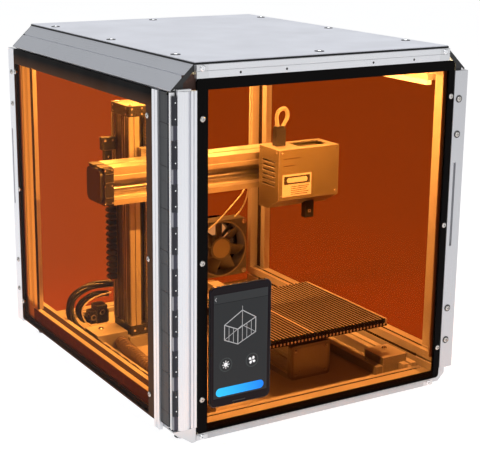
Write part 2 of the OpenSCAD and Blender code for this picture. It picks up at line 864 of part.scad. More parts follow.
module base_brackets() {
    color("darkgoldenrod") difference() {
        union() {
            for (y = [-200, 72]) {
                block([127.2, y, floor_top], [153.8, y + 42, 36]);
                block([153.8 - eps, y, floor_top + 12.7], [166, y + 42, 36]);
            }
            block([-153.8, 62, floor_top], [column_x - 34.2, 104, 36]);
            block([-166, 62, floor_top + 12.7], [-153.8 + eps, 104, 36]);
        }
        for (p = [[150, -172], [150, 96], [-150, 86]]) rod("z", 2.2, [p[0], p[1], 20], 30);
    }
}

module y_rail() {
    x0 = y_rail_x - y_rail_w / 2;
    color("peru") translate([0, (y_rail_y0 + y_rail_y1) / 2, 0]) along_y(y_rail_y1 - y_rail_y0 - 2 * y_cap)
        difference() {
            translate([x0, y_rail_z0]) square([y_rail_w, y_rail_h]);
            translate([y_rail_x - 13, y_screw_z - 7]) square([26, 40]);
            for (i = [-1, 1], z = [12, 31])
                translate([y_rail_x + i * (y_rail_w / 2 - 1), y_rail_z0 + z]) square([5, 8], center = true);
        }
}

module y_end_caps() {
    color("saddlebrown") difference() {
        for (y = [y_rail_y0, y_rail_y1 - y_cap]) translate([y_rail_x, y + y_cap, y_rail_z0 + y_rail_h / 2])
            rotate([90, 0, 0]) linear_extrude(height = y_cap) round_rect(y_rail_w, y_rail_h, 4);
        rod("y", drive_r + clear, [y_rail_x, y_rail_y0 + 3, y_screw_z], y_rail_y1 - y_rail_y0 - 6);
        for (i = [-1, 1], j = [-1, 1])
            rod("y", 2, [y_rail_x + i * 24, y_rail_y0 - 1, y_rail_z0 + y_rail_h / 2 + j * 17], 3);
    }
}

module y_screw() {
    color("silver") rod("y", drive_r, [y_rail_x, y_rail_y0 + 3.2, y_screw_z], y_rail_y1 - y_rail_y0 - 6.4);
}

module y_carriage() {
    z0 = y_rail_z0 + y_rail_h + 0.5;
    color("saddlebrown") difference() {
        union() {
            block([y_rail_x - 36, bed_y - 46, z0], [y_rail_x + 36, bed_y + 46, bed_z0 - 8]);
            block([y_rail_x - 60, bed_y - 30, bed_z0 - 8 - eps], [y_rail_x + 62, bed_y + 30, bed_z0]);
            block([y_rail_x - 11, bed_y - 30, y_screw_z - 6], [y_rail_x + 11, bed_y + 30, z0 + 1]);
        }
        rod("y", drive_r + clear, [y_rail_x, bed_y - 60, y_screw_z], 120);
    }
}

slat_n = floor((bed_size - 2) / slat_pitch);

module slatted_bed() {
    x0 = bed_x - bed_size / 2;
    y0 = bed_y - bed_size / 2;
    z1 = bed_z0 + bed_t;
    color("sienna") {
        block([x0, y0, bed_z0], [x0 + bed_size, y0 + bed_size, bed_z0 + 2.5]);
        for (y = [y0 + 2, y0 + bed_size - 5])
            block([x0, y, bed_z0 + 2], [x0 + bed_size, y + 3, z1 - 3]);
        for (i = [0:slat_n - 1])
            block([x0 + 2 + i * slat_pitch, y0, bed_z0 + 2], [x0 + 4.4 + i * slat_pitch, y0 + bed_size, z1]);
    }
}

module z_section() {
    difference() {
        translate([column_x - column_w / 2, column_y]) square([column_w, column_d]);
        translate([column_x - channel_w / 2, column_y - 1]) square([channel_w, channel_d + 1]);
        for (i = [-1, 1], y = [15, 38])
            translate([column_x + i * column_w / 2, column_y + y]) square([5, 15], center = true);
        for (i = [-1, 1]) translate([column_x + i * 22, column_y]) square([1.6, 3], center = true);
    }
}

module z_column() {
    color("chocolate") translate([0, 0, column_z0 + cap_t])
        linear_extrude(height = column_z1 - column_z0 - 2 * cap_t) z_section();
}

module z_end_caps() {
    color("saddlebrown") difference() {
        for (z = [column_z0, column_z1 - cap_t]) translate([column_x, column_y + column_d / 2, z])
            linear_extrude(height = cap_t) round_rect(column_w, column_d, 3);
        rod("z", drive_r + clear, [column_x, z_screw_y, column_z0 + 5], column_z1 - column_z0 - 10);
        for (i = [-1, 1]) rod("y", 1.6, [column_x + i * 8, column_y - 1, column_z0 + 8], 3);
    }
}

module z_screw() {
    color("silver") rod("z", drive_r, [column_x, z_screw_y, column_z0 + 5.2], column_z1 - column_z0 - 10.4);
}

module z_carriage() {
    z0 = arm_z0 - 10;
    z1 = 297;
    color("sandybrown") difference() {
        union() {
            block([column_x - 17, arm_y + arm_d, z0], [column_x + 26, column_y - 0.5, z1]);
            block([column_x - 11, column_y - 1, z0 + 12], [column_x + 11, column_y + channel_d - 1, z1 - 12]);
        }
        rod("z", drive_r + clear, [column_x, z_screw_y, 0], 400);
    }
}

module x_section() {
    difference() {
        translate([arm_y, arm_z0]) square([arm_d, arm_h]);
        translate([arm_y - 1, arm_channel_z0]) square([17, arm_channel_z1 - arm_channel_z0]);
        translate([arm_y + 24, arm_z0 + arm_h]) square([6, 3], center = true);
        translate([arm_y, arm_z0 + 40]) square([3, 1.6], center = true);
    }
}

module x_arm() {
    x0 = arm_x0 + arm_motor_cap;
    x1 = arm_x1 - arm_cap;
    color("orange") translate([(x0 + x1) / 2, 0, 0]) along_x(x1 - x0) x_section();
}

// Length t of an end cap from x on, set in by inset all round
module arm_end(x, t, inset, r) {
    translate([x, arm_y + arm_d / 2, arm_z0 + arm_h / 2]) rotate([90, 0, 90])
        linear_extrude(height = t) round_rect(arm_d - 2 * inset, arm_h - 2 * inset, r);
}

module x_end_caps() {
    color("saddlebrown") difference() {
        union() {
            arm_end(arm_x1 - arm_cap, arm_cap, 0, 4);
            arm_end(arm_x0 + arm_bulge, arm_motor_cap - arm_bulge, 0, 3);
            arm_end(arm_x0, arm_bulge + eps, 2.5, 9);
        }
        rod("x", drive_r + clear, [arm_x0 + 3, x_screw_y, x_screw_z], arm_x1 - arm_x0 - 6);
    }
}

module x_screw() {
    color("silver") rod("x", drive_r, [arm_x0 + 3.2, x_screw_y, x_screw_z], arm_x1 - arm_x0 - 6.4);
}

module x_carriage() {
    color("saddlebrown") difference() {
        union() {
            block([head_x - carriage_w / 2, head_back, arm_z0 - 3], [head_x + carriage_w / 2, arm_y - 0.5, arm_z0 + arm_h + 3]);
            block([head_x - 24, arm_y - 1, arm_channel_z0 + 2], [head_x + 24, arm_y + 14, arm_channel_z1 - 2]);
        }
        rod("x", drive_r + clear, [head_x - 60, x_screw_y, x_screw_z], 120);
    }
}

// Side view of the housing, in (y, z)
module head_outline(inset) {
    polygon([[head_front + inset, head_low + head_chamfer_z + inset * 0.4],
        [head_front + head_chamfer_y + inset * 0.2, head_low + inset], [head_back - inset, head_low + inset],
        [head_back - inset, head_top - inset], [head_front + inset, head_top - inset]]);
}

louvre_n = 6;
louvre_pitch = 6.4;

module laser_housing() {
    x0 = head_x - head_w / 2;
    color("darkorange") difference() {
        translate([head_x, 0, 0]) along_x(head_w) head_outline(0);
        translate([head_x, 0, 0]) along_x(head_w - 2 * head_wall) head_outline(head_wall);
        for (i = [0:louvre_n - 1]) block([x0 - 1, -60.5, 249.5 + i * louvre_pitch],
            [x0 + head_w + 1, -29, 252.3 + i * louvre_pitch]);
        block([82, -57, head_top - 10], [129, -28, head_top + 1]);
        rod("z", lens_r, [nozzle_x, nozzle_y, head_low - 30], 45);
    }
    color("darkorange") difference() {
        block([x0 + 14, head_front + 1, head_fan_z - 16], [x0 + 16, head_back - 1, head_fan_z + 16]);
        rod("x", 2 + clear, [x0 + 13, head_fan_y, head_fan_z], 5);
    }
}

module laser_nozzle() {
    front = nozzle_y - nozzle_d / 2;
    back = nozzle_y + nozzle_d / 2;
    slope = head_chamfer_z / head_chamfer_y;
    meet = head_front + head_chamfer_y;
    color("black") difference() {
        translate([nozzle_x, 0, 0]) along_x(nozzle_w) polygon([[front, nozzle_low], [back, nozzle_low],
            [back, head_low + (meet - back) * slope], [front, head_low + (meet - front) * slope]]);
        rod("z", lens_r, [nozzle_x, nozzle_y, nozzle_low - 1], 40);
    }
}

module laser_fan() {
    color("dimgray") {
        rod("x", 6, [head_fan_x, head_fan_y, head_fan_z], 9);
        rod("x", 2, [head_fan_x + 8, head_fan_y, head_fan_z], 6);
        difference() {
            intersection() {
                for (i = [0:6]) translate([head_fan_x + 4.5, head_fan_y, head_fan_z])
                    rotate([i * 360 / 7, 0, 0]) translate([0, 0, 11]) rotate([0, 0, 40])
                        cube([1.4, 12, 14], center = true);
                rod("x", head_fan_r, [head_fan_x + 0.4, head_fan_y, head_fan_z], 8.2, 48);
            }
            rod("x", 5, [head_fan_x - 1, head_fan_y, head_fan_z], 12);
        }
    }
}

module laser_plug() {
    color("black") {
        block([plug_x - 6.2, plug_y - 5.5, head_top], [plug_x + 6.2, plug_y + 5.5, plug_top]);
        tube(hairpin_route, 3, [0, 1, 0]);
    }
}

// ---------- cables ----------

module corrugated_hose() {
    color("sandybrown") tube(hose_route, hose_r, [0, 0, 1], 12);
}

module cable_loop() {
    color("black") tube(loop_route, cable_r, [0, 1, 0], 8);
}

module thin_wires() {
    color("tan") {
        tube(signal_route, wire_r, [0, 1, 0], 8);
        tube(fan_wire_a, wire_r, [0, 1, 0], 8);
        tube(fan_wire_b, wire_r, [0, 1, 0], 8);
    }
}

bottom_rail_left();
bottom_rail_right();
bottom_rail_front();
bottom_rail_rear();
top_rail_left();
top_rail_right();
top_rail_front();
top_rail_rear();
corner_posts();
hinge_post();
corner_blocks();
case_screws();
floor_panel();
floor_rails();
feet();
top_panel();
top_gasket();
right_panel();
rear_panel();
led_strips();
fan_frame();
fan_rotor();
duct_collar();
front_door_panel();
front_door_seal();
front_door_profile();
front_door_handle();
front_door_screws();
left_door_panel();
left_door_seal();
left_door_profile();
left_hinge_leaf();
left_door_handle();
left_door_screws();
hinge_pins();
touchscreen_body();
touchscreen_glass();
touchscreen_holder();
base_frame();
base_brackets();
y_rail();
y_end_caps();
y_screw();
y_carriage();
slatted_bed();
z_column();
z_end_caps();
z_screw();
z_carriage();
x_arm();
x_end_caps();
x_screw();
x_carriage();
laser_housing();
laser_nozzle();
laser_fan();
laser_plug();
corrugated_hose();
cable_loop();
thin_wires();
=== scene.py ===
"""The looks of a desktop laser cutter: amber panes, anodised rails, touchscreen and the machine inside."""
import math
import bmesh
import bpy
from mathutils import Matrix, Vector


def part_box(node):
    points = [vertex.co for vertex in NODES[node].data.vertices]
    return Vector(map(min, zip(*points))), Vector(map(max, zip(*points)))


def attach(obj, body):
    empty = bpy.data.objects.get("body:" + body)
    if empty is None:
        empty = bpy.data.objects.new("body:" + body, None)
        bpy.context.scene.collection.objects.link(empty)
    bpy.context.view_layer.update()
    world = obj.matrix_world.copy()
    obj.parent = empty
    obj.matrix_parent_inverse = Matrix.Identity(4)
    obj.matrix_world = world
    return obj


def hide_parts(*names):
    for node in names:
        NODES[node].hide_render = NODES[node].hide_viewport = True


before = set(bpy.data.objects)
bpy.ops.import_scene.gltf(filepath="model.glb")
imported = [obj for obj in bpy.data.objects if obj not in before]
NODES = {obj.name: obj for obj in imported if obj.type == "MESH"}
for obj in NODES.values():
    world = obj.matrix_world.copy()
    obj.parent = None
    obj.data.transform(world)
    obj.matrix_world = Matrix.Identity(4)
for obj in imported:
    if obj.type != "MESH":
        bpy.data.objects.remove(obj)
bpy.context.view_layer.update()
MM = 0.001


# ---------- camera, light and floor ----------

CAMERA_PLACE = (-0.8353, -1.4147, 0.6222)
CAMERA_YAW, CAMERA_PITCH, CAMERA_ROLL = (math.radians(a) for a in (31.28, 14.85, 0.61))
LENS_MM = 92.6
LED_TONE = (1.0, 0.84, 0.45)
SKY_STRENGTH = 0.42
LED_WATTS = 5.0
FLOOR_HALF = 30.0


def make_camera():
    """A long lens at the left front of the case, a little above it."""
    ahead = Vector((math.sin(CAMERA_YAW) * math.cos(CAMERA_PITCH),
                    math.cos(CAMERA_YAW) * math.cos(CAMERA_PITCH), -math.sin(CAMERA_PITCH)))
    level = Vector((math.cos(CAMERA_YAW), -math.sin(CAMERA_YAW), 0))
    upright = level.cross(ahead)
    right = math.cos(CAMERA_ROLL) * level + math.sin(CAMERA_ROLL) * upright
    up = math.cos(CAMERA_ROLL) * upright - math.sin(CAMERA_ROLL) * level
    data = bpy.data.cameras.new("camera")
    data.lens = LENS_MM
    data.clip_start = 0.01
    camera = bpy.data.objects.new("camera", data)
    turn = Matrix((right, up, -ahead)).transposed().to_4x4()
    camera.matrix_world = Matrix.Translation(CAMERA_PLACE) @ turn
    bpy.context.scene.collection.objects.link(camera)
    bpy.context.scene.camera = camera


def area_light(name, place, target, size, watts, colour=(1, 1, 1)):
    data = bpy.data.lights.new(name, "AREA")
    data.shape = "RECTANGLE"
    data.size, data.size_y = size
    data.energy = watts
    data.color = colour
    lamp = bpy.data.objects.new(name, data)
    lamp.location = place
    lamp.rotation_mode = "QUATERNION"
    lamp.rotation_quaternion = (Vector(target) - Vector(place)).to_track_quat("-Z", "Y")
    lamp.visible_camera = False
    bpy.context.scene.collection.objects.link(lamp)


def make_light():
    """A soft sky, a white backdrop that only the camera sees, and two soft boxes."""
    world = bpy.data.worlds.new("studio")
    world.use_nodes = True
    tree = world.node_tree
    sky = tree.nodes["Background"]
    sky.inputs["Color"].default_value = (0.95, 0.97, 1.0, 1)
    sky.inputs["Strength"].default_value = SKY_STRENGTH
    backdrop = tree.nodes.new("ShaderNodeBackground")
    backdrop.inputs["Color"].default_value = (1, 1, 1, 1)
    backdrop.inputs["Strength"].default_value = 1.0
    seen = tree.nodes.new("ShaderNodeLightPath")
    either = tree.nodes.new("ShaderNodeMixShader")
    tree.links.new(seen.outputs["Is Camera Ray"], either.inputs[0])
    tree.links.new(sky.outputs[0], either.inputs[1])
    tree.links.new(backdrop.outputs[0], either.inputs[2])
    tree.links.new(either.outputs[0], tree.nodes["World Output"].inputs["Surface"])
    bpy.context.scene.world = world
    bpy.context.scene.view_settings.view_transform = "Standard"
    area_light("softbox_front", (-0.5, -2.3, 1.7), (0, 0, 0.2), (1.6, 1.2), 9)
    area_light("softbox_top", (0.3, 0.2, 2.4), (0, 0, 0.4), (1.8, 1.8), 23)


def make_inner_light():
    """The light of the LED strips under the front and rear top rails, and what the rails pass on of it."""
    low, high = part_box("led_strips")
    for name, y, aim in (("led_front", low.y + 0.004, -0.04), ("led_rear", high.y - 0.004, 0.06)):
        area_light(name, (0, y, low.z - 0.003), (0, aim, 0), (high.x - low.x, 0.008), LED_WATTS, LED_TONE)
    area_light("rail_glow", (-0.2046, 0.2045, 0.23), (0, 0.2045, 0.23), (0.036, 0.36), 0.05, LED_TONE)


def make_floor():
    """A wide pale sheet that glows a little, just under the feet."""
    mesh = bpy.data.meshes.new("floor")
    corners = [(i * FLOOR_HALF, j * FLOOR_HALF, 0) for i, j in ((-1, -1), (1, -1), (1, 1), (-1, 1))]
    mesh.from_pydata(corners, [], [(0, 1, 2, 3)])
    floor = bpy.data.objects.new("floor", mesh)
    floor.location.z = -0.0005
    bpy.context.scene.collection.objects.link(floor)
    look = Look("pale_floor", {"Roughness": 0.9, "Specular IOR Level": 0.1, "Emission Strength": 0.86,
                               "Emission Color": (1, 1, 1)})
    shade = look.noise(3, 2)
    look.colour(look.mix(shade, (0.3, 0.3, 0.305), (0.32, 0.32, 0.32)))
    mesh.materials.append(look.mat)


# ---------- material building ----------

class Look:
    """A procedural material: one Principled shader and the nodes that drive it."""

    def __init__(self, name, values=None):
        self.mat = bpy.data.materials.new(name)
        self.mat.use_nodes = True
        self.tree = self.mat.node_tree
        self.bsdf = self.tree.nodes["Principled BSDF"]
        self.out = self.tree.nodes["Material Output"]
        self.place = self.add("ShaderNodeTexCoord").outputs["Object"]
        self.fill(self.bsdf, values or {})

    def fill(self, node, values):
        for key, value in values.items():
            if isinstance(value, bpy.types.NodeSocket):
                self.tree.links.new(value, node.inputs[key])
            elif isinstance(value, tuple) and len(value) == 3 and node.inputs[key].type == "RGBA":
                node.inputs[key].default_value = (*value, 1)
            else:
                node.inputs[key].default_value = value

    def add(self, kind, values=None, **properties):
        node = self.tree.nodes.new(kind)
        for key, value in properties.items():
            setattr(node, key, value)
        self.fill(node, values or {})
        return node

    def stretched(self, factors):
        values = {0: self.place, 1: factors}
        return self.add("ShaderNodeVectorMath", values, operation="MULTIPLY").outputs[0]

    def noise(self, scale, detail=3, stretch=None):
        place = self.stretched(stretch) if stretch else self.place
        values = {"Vector": place, "Scale": scale, "Detail": detail}
        return self.add("ShaderNodeTexNoise", values).outputs["Fac"]

    def die_lines(self, along, fine=9000, long=12):
        """Fine lines drawn out along one axis."""
        return self.noise(1, 2, tuple(long if a == along else fine for a in "XYZ"))

    def math(self, operation, a, b=0.0):
        return self.add("ShaderNodeMath", {0: a, 1: b}, operation=operation).outputs[0]

    def times(self, a, b):
        return self.math("MULTIPLY", a, b)

    def plus(self, a, b):
        return self.math("ADD", a, b)

    def axis(self, name):
        return self.add("ShaderNodeSeparateXYZ", {"Vector": self.place}).outputs[name]

    def range(self, value, low, high, out_low=0.0, out_high=1.0):
        values = {"Value": value, "From Min": low, "From Max": high, "To Min": out_low, "To Max": out_high}
        return self.add("ShaderNodeMapRange", values).outputs["Result"]

    def band(self, value, low, high, soft=0.0001):
        """1 where value lies between low and high."""
        above = self.range(value, low - soft, low + soft)
        below = self.range(value, high - soft, high + soft, 1.0, 0.0)
        return self.times(above, below)

    def facing(self, name):
        """How far the surface faces along an axis, from -1 to 1."""
        normal = self.add("ShaderNodeNewGeometry").outputs["Normal"]
        return self.add("ShaderNodeSeparateXYZ", {"Vector": normal}).outputs[name]

    def mix(self, factor, a, b):
        node = self.add("ShaderNodeMix", data_type="RGBA")
        for socket, value in ((node.inputs[0], factor), (node.inputs[6], a), (node.inputs[7], b)):
            if isinstance(value, bpy.types.NodeSocket):
                self.tree.links.new(value, socket)
            else:
                socket.default_value = (*value, 1) if isinstance(value, tuple) else value
        return node.outputs[2]

    def colour(self, value):
        self.fill(self.bsdf, {"Base Color": value})

    def roughness(self, value, low, high, smoothest, roughest):
        self.fill(self.bsdf, {"Roughness": self.range(value, low, high, smoothest, roughest)})

    def bevelled(self, radius):
        """Rounds the edges that light catches."""
        return self.add("ShaderNodeBevel", {"Radius": radius}, samples=4).outputs["Normal"]

    def edges(self, radius):
        """1 on the edges, 0 on flat faces: where a bevelled normal leaves the true one."""
        true = self.add("ShaderNodeNewGeometry").outputs["Normal"]
        dot = self.add("ShaderNodeVectorMath", {0: self.bevelled(radius), 1: true}, operation="DOT_PRODUCT")
        return self.range(dot.outputs["Value"], 0.995, 0.88)

    def bump(self, height, distance, strength=1.0, normal=None):
        values = {"Height": height, "Distance": distance, "Strength": strength}
        if normal is not None:
            values["Normal"] = normal
        self.fill(self.bsdf, {"Normal": self.add("ShaderNodeBump", values).outputs["Normal"]})


WHITE = (1.0, 1.0, 1.0)
PRINT = 0.0022
SCREW_LEAD = 0.008
SCREW_STARTS = 4.0


def shade(colour, factor):
    return tuple(min(1, c * factor) for c in colour)


def anodised(name, colour, roughness=0.32, metallic=0.75, along="Y", spread=0.03, painted_edge_highlight=0.5):
    """Extruded aluminium: fine die lines along its length, soft patches, and edges painted toward white as a
    painted highlight.
    """
    look = Look(name, {"Metallic": metallic})
    lines = look.die_lines(along)
    patches = look.noise(14, 3)
    blend = look.plus(look.times(lines, 0.5), look.times(patches, 0.5))
    body = look.mix(blend, shade(colour, 1 - spread), shade(colour, 1 + spread))
    # Painted highlight: the edges are mixed toward white.
    look.colour(look.mix(look.times(look.edges(0.0007), painted_edge_highlight), body, WHITE))
    rough = look.range(lines, 0.25, 0.75, roughness - 0.06, roughness + 0.06)
    look.fill(look.bsdf, {"Roughness": look.plus(rough, look.range(patches, 0.3, 0.7, -0.03, 0.03))})
    look.bump(lines, 0.00002, 0.5, look.bevelled(0.0004))
    return look.mat


def machined(name, along, side=(0.3, 0.285, 0.27), top=(0.95, 0.95, 0.93)):
    """Machine extrusion: satin flanks and light die lines, with painted light: faces that look up take the
    bright top colour as if lit from above, and the edges are painted near white as highlights.
    """
    look = Look(name, {"Metallic": 0.45})
    lines = look.die_lines(along, 7000, 10)
    flank = look.mix(look.noise(24, 3), shade(side, 0.8), shade(side, 1.2))
    # Painted light: faces that look up get the top colour, as if lit from above.
    up = look.range(look.facing("Z"), 0.5, 0.95)
    body = look.mix(up, look.mix(look.range(lines, 0.6, 0.85, 0.0, 0.3), flank, top), top)
    # Painted highlight: the edges are mixed toward white.
    look.colour(look.mix(look.times(look.edges(0.0009), 0.9), body, WHITE))
    look.roughness(lines, 0.25, 0.75, 0.28, 0.4)
    look.bump(lines, 0.00002, 0.5, look.bevelled(0.0005))
    return look.mat


def column_look():
    """The column's extrusion with painted light: the front face of the corner rib painted bright as lit, the
    flanks and slots painted dark as shade, and bands at the slot lips and the edges painted as highlights.
    """
    look = Look("column_metal", {"Metallic": 0.45})
    low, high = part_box("z_column")
    lines = look.die_lines("Z", 7000, 10)
    dark = look.mix(look.noise(24, 3), (0.1, 0.09, 0.08), (0.17, 0.155, 0.14))
    # Painted light: the rib is bright only where it faces the front; the rest is dark as shade.
    rib = look.band(look.axis("X"), low.x + 0.001, low.x + 0.0175)
    ahead = look.range(look.facing("Y"), -0.9, -0.6, 1.0, 0.0)
    bright = look.mix(lines, (0.5, 0.47, 0.4), (0.7, 0.66, 0.58))
    body = look.mix(look.times(rib, ahead), dark, bright)
    depth = look.axis("Y")
    # Painted highlights: bright bands at the slot lips.
    front_lip = look.band(depth, low.y + 0.0165, low.y + 0.0182)
    rear_lip = look.band(depth, high.y - 0.0035, high.y - 0.002)
    lips = look.plus(front_lip, rear_lip)
    painted_highlights = look.math("MAXIMUM", look.times(look.edges(0.0009), 0.9), lips)
    look.colour(look.mix(painted_highlights, body, (0.9, 0.88, 0.84)))
    look.roughness(lines, 0.25, 0.75, 0.28, 0.4)
    look.bump(lines, 0.00002, 0.5, look.bevelled(0.0005))
    return look.mat


def painted(name, colour, roughness=0.45, grain=2600, depth=0.00003):
    """Powder coat or moulded plastic: a fine even grain and slight colour drift."""
    look = Look(name)
    drift = look.noise(18, 3)
    look.colour(look.mix(drift, shade(colour, 0.9), shade(colour, 1.1)))
    look.roughness(drift, 0.3, 0.7, roughness - 0.05, roughness + 0.07)
    look.bump(look.noise(grain, 2), depth, 0.6, look.bevelled(0.0004))
    return look.mat


def rubber(name, colour=(0.012, 0.012, 0.013)):
    """Dull black or brown rubber with a little dust."""
    look = Look(name, {"Specular IOR Level": 0.3})
    dust = look.noise(160, 4)
    look.colour(look.mix(look.range(dust, 0.5, 0.9), colour, tuple(c * 2.2 + 0.004 for c in colour)))
    look.roughness(dust, 0.2, 0.8, 0.6, 0.85)
    look.bump(look.noise(2200, 2), 0.00004, 0.5, look.bevelled(0.0003))
    return look.mat


def polished_steel(name="screw_steel", low=(0.74, 0.75, 0.77), high=(0.9, 0.91, 0.93)):
    """Turned steel, low and high being its darkest and its brightest."""
    look = Look(name, {"Metallic": 1.0})
    turned = look.noise(4200, 2)
    look.colour(look.mix(turned, low, high))
    look.roughness(turned, 0.2, 0.8, 0.16, 0.3)
    look.bump(turned, 0.00001, 0.5, look.bevelled(0.0003))
    return look.mat


def amber_acrylic(name, node, tint, across, gloss_share=0.22, margins=(PRINT,) * 4, web_shade_top=0.0):
    """Clear cast sheet with a black printed edge: each face passes the tint once and mirrors a little.

    across is the name of the axis that the sheet is wide along, and margins are the print's widths at the
    start, the end, the bottom and the top. Where web_shade_top is 1, the print turns brown towards the top as
    painted shade of the rail web behind the pane.
    """
    low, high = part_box(node)
    look = Look(name)
    drift = look.noise(3.5, 2)
    clear = look.add("ShaderNodeBsdfTransparent", {"Color": look.mix(drift, shade(tint, 0.985), tint)})
    smears = look.noise(22, 4, (1, 1, 0.4))
    gloss = look.add("ShaderNodeBsdfGlossy", {
        "Color": (1, 1, 1), "Roughness": look.range(smears, 0.3, 0.7, 0.02, 0.06)})
    ripple = look.add("ShaderNodeBump", {"Height": look.noise(9, 2), "Distance": 0.0002, "Strength": 0.25})
    look.fill(gloss, {"Normal": ripple.outputs["Normal"]})
    outside = look.math("SUBTRACT", 1.0, look.add("ShaderNodeNewGeometry").outputs["Backfacing"])
    mirror = look.times(look.add("ShaderNodeFresnel", {"IOR": 1.2}).outputs[0], gloss_share)
    edge = look.times(mirror, outside)
    body = look.add("ShaderNodeMixShader", {0: edge, 1: clear.outputs[0], 2: gloss.outputs[0]})
    start, end = (getattr(corner, across.lower()) for corner in (low, high))
    height = look.axis("Z")
    inside = look.times(look.band(look.axis(across), start + margins[0], end - margins[1], 0.0002),
                       look.band(height, low.z + margins[2], high.z - margins[3], 0.0002))
    # Painted shade: toward the top the print turns brown, for the rail web in shade behind the pane.
    upper = look.range(height, high.z - 0.02, high.z - 0.006, 0.5, 0.0)
    brown = look.times(upper, web_shade_top)
    look.colour(look.mix(brown, (0.004, 0.0035, 0.0035), (0.15, 0.065, 0.03)))
    look.fill(look.bsdf, {"Specular IOR Level": 0.03})
    look.roughness(smears, 0.3, 0.7, 0.45, 0.6)
    printed = look.add("ShaderNodeMixShader", {0: inside, 1: look.bsdf.outputs[0], 2: body.outputs[0]})
    look.tree.links.new(printed.outputs[0], look.out.inputs["Surface"])
    return look.mat


def glowing(name, colour, strength):
    """A diffuser lit from behind."""
    look = Look(name, {"Base Color": colour, "Roughness": 0.4, "Emission Color": colour})
    glow = look.range(look.noise(240, 1), 0.3, 0.7, strength * 0.92, strength * 1.08)
    look.fill(look.bsdf, {"Emission Strength": glow})
    return look.mat


def threaded(name, axis, centre):
    """Steel drive screw: a trapezoid thread that winds round axis through centre."""
    look = Look(name, {"Metallic": 1.0, "Roughness": 0.28, "Base Color": (0.7, 0.7, 0.72)})
    across = [a for a in "XYZ" if a != axis]
    u, v = (look.math("SUBTRACT", look.axis(a), centre["XYZ".index(a)]) for a in across)
    angle = look.math("DIVIDE", look.math("ARCTAN2", u, v), 2 * math.pi)
    run = look.math("DIVIDE", look.axis(axis), SCREW_LEAD)
    phase = look.times(look.plus(run, angle), SCREW_STARTS)
    wave = look.math("SINE", look.times(phase, 2 * math.pi))
    groove = look.range(wave, -0.5, 0.5)
    # Painted shade: the thread's valleys are coloured darker than its crests.
    look.colour(look.mix(groove, (0.25, 0.25, 0.26), (0.85, 0.85, 0.87)))
    look.bump(groove, 0.0005, 1.0)
    return look.mat


# ---------- mesh building ----------

def finished(name, mesh, body, slot, material, smooth=False, bevel=0.0):
    piece = bpy.data.objects.new(name, mesh)
    bpy.context.scene.collection.objects.link(piece)
    mesh.materials.append(material)
    if smooth:
        mesh.polygons.foreach_set("use_smooth", [True] * len(mesh.polygons))
    if bevel:
        rounded = piece.modifiers.new("rounded", "BEVEL")
        rounded.width = bevel
        rounded.segments = 2
        rounded.limit_method = "ANGLE"
    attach(piece, body)
    return piece


def mesh_of(bm, name):
    mesh = bpy.data.meshes.new(name)
    bmesh.ops.recalc_face_normals(bm, faces=bm.faces)
    bm.to_mesh(mesh)
    bm.free()
    return mesh


def add_block(bm, low, high):
    place = Matrix.Translation((Vector(low) + Vector(high)) / 2)
    size = Vector(high) - Vector(low)
    bmesh.ops.create_cube(bm, size=1, matrix=place @ Matrix.Diagonal((*size, 1)))


def add_rod(bm, start, end, radius, sides=20):
    start, end = Vector(start), Vector(end)
    run = end - start
    turn = run.to_track_quat("Z", "Y").to_matrix().to_4x4()
    bmesh.ops.create_cone(bm, cap_ends=True, segments=sides, radius1=radius, radius2=radius,
                          depth=run.length, matrix=Matrix.Translation((start + end) / 2) @ turn)


def ring_points(centre, across, aside, radius, sides):
    return [centre + radius * (math.cos(t) * across + math.sin(t) * aside)
            for t in (2 * math.pi * k / sides for k in range(sides))]


def add_skin(bm, rings, capped=True):
    """Faces from each ring of points to the next: with an end cap each, or round to the first ring again."""
    rings = [[bm.verts.new(p) for p in ring] for ring in rings]
    following = rings[1:] if capped else rings[1:] + rings[:1]
    for low, high in zip(rings, following):
        for a, b, c, d in zip(low, low[1:] + low[:1], high[1:] + high[:1], high):
            bm.faces.new((a, b, c, d))
    if capped:
        bm.faces.new(rings[0][::-1])
        bm.faces.new(rings[-1])


def square_to(out):
    """Two directions at right angles to out."""
    across = out.orthogonal().normalized()
    return across, out.cross(across)


def frames_along(route):
    """Each point of a route with its distance run and two directions square to it, without twist."""
    distance, across = 0.0, None
    for i, point in enumerate(route):
        ahead = (route[min(i + 1, len(route) - 1)] - route[max(i - 1, 0)]).normalized()
        across = ahead.orthogonal() if across is None else across - across.dot(ahead) * ahead
        across.normalize()
        if i:
            distance += (point - route[i - 1]).length
        yield point, distance, across.copy(), ahead.cross(across)


def smooth_route(points, step):
    """Points a step apart on a smooth curve through the given ones."""
    points = [Vector(p) * MM for p in points]
    ends = [2 * points[0] - points[1]] + points + [2 * points[-1] - points[-2]]
    fine = []
    for a, b, c, d in zip(ends, ends[1:], ends[2:], ends[3:]):
        count = max(2, round((c - b).length / step))
        for k in range(count):
            t = k / count
            fine.append(0.5 * (2 * b + (c - a) * t + (2 * a - 5 * b + 4 * c - d) * t ** 2
                               + (3 * b - a - 3 * c + d) * t ** 3))
    return fine + [points[-1]]


def add_tube(bm, route, radius_at, sides=12):
    """A tube along the route; radius_at(distance) gives its radius."""
    add_skin(bm, [ring_points(point, across, aside, radius_at(distance), sides)
                  for point, distance, across, aside in frames_along(route)])


def add_prism(bm, outline, direction):
    """A closed outline of points, drawn out by direction."""
    near = [bm.verts.new(p) for p in outline]
    far = [bm.verts.new(Vector(p) + Vector(direction)) for p in outline]
    bm.faces.new(near)
    bm.faces.new(far[::-1])
    for k in range(len(near)):
        n = (k + 1) % len(near)
        bm.faces.new((near[n], near[k], far[k], far[n]))


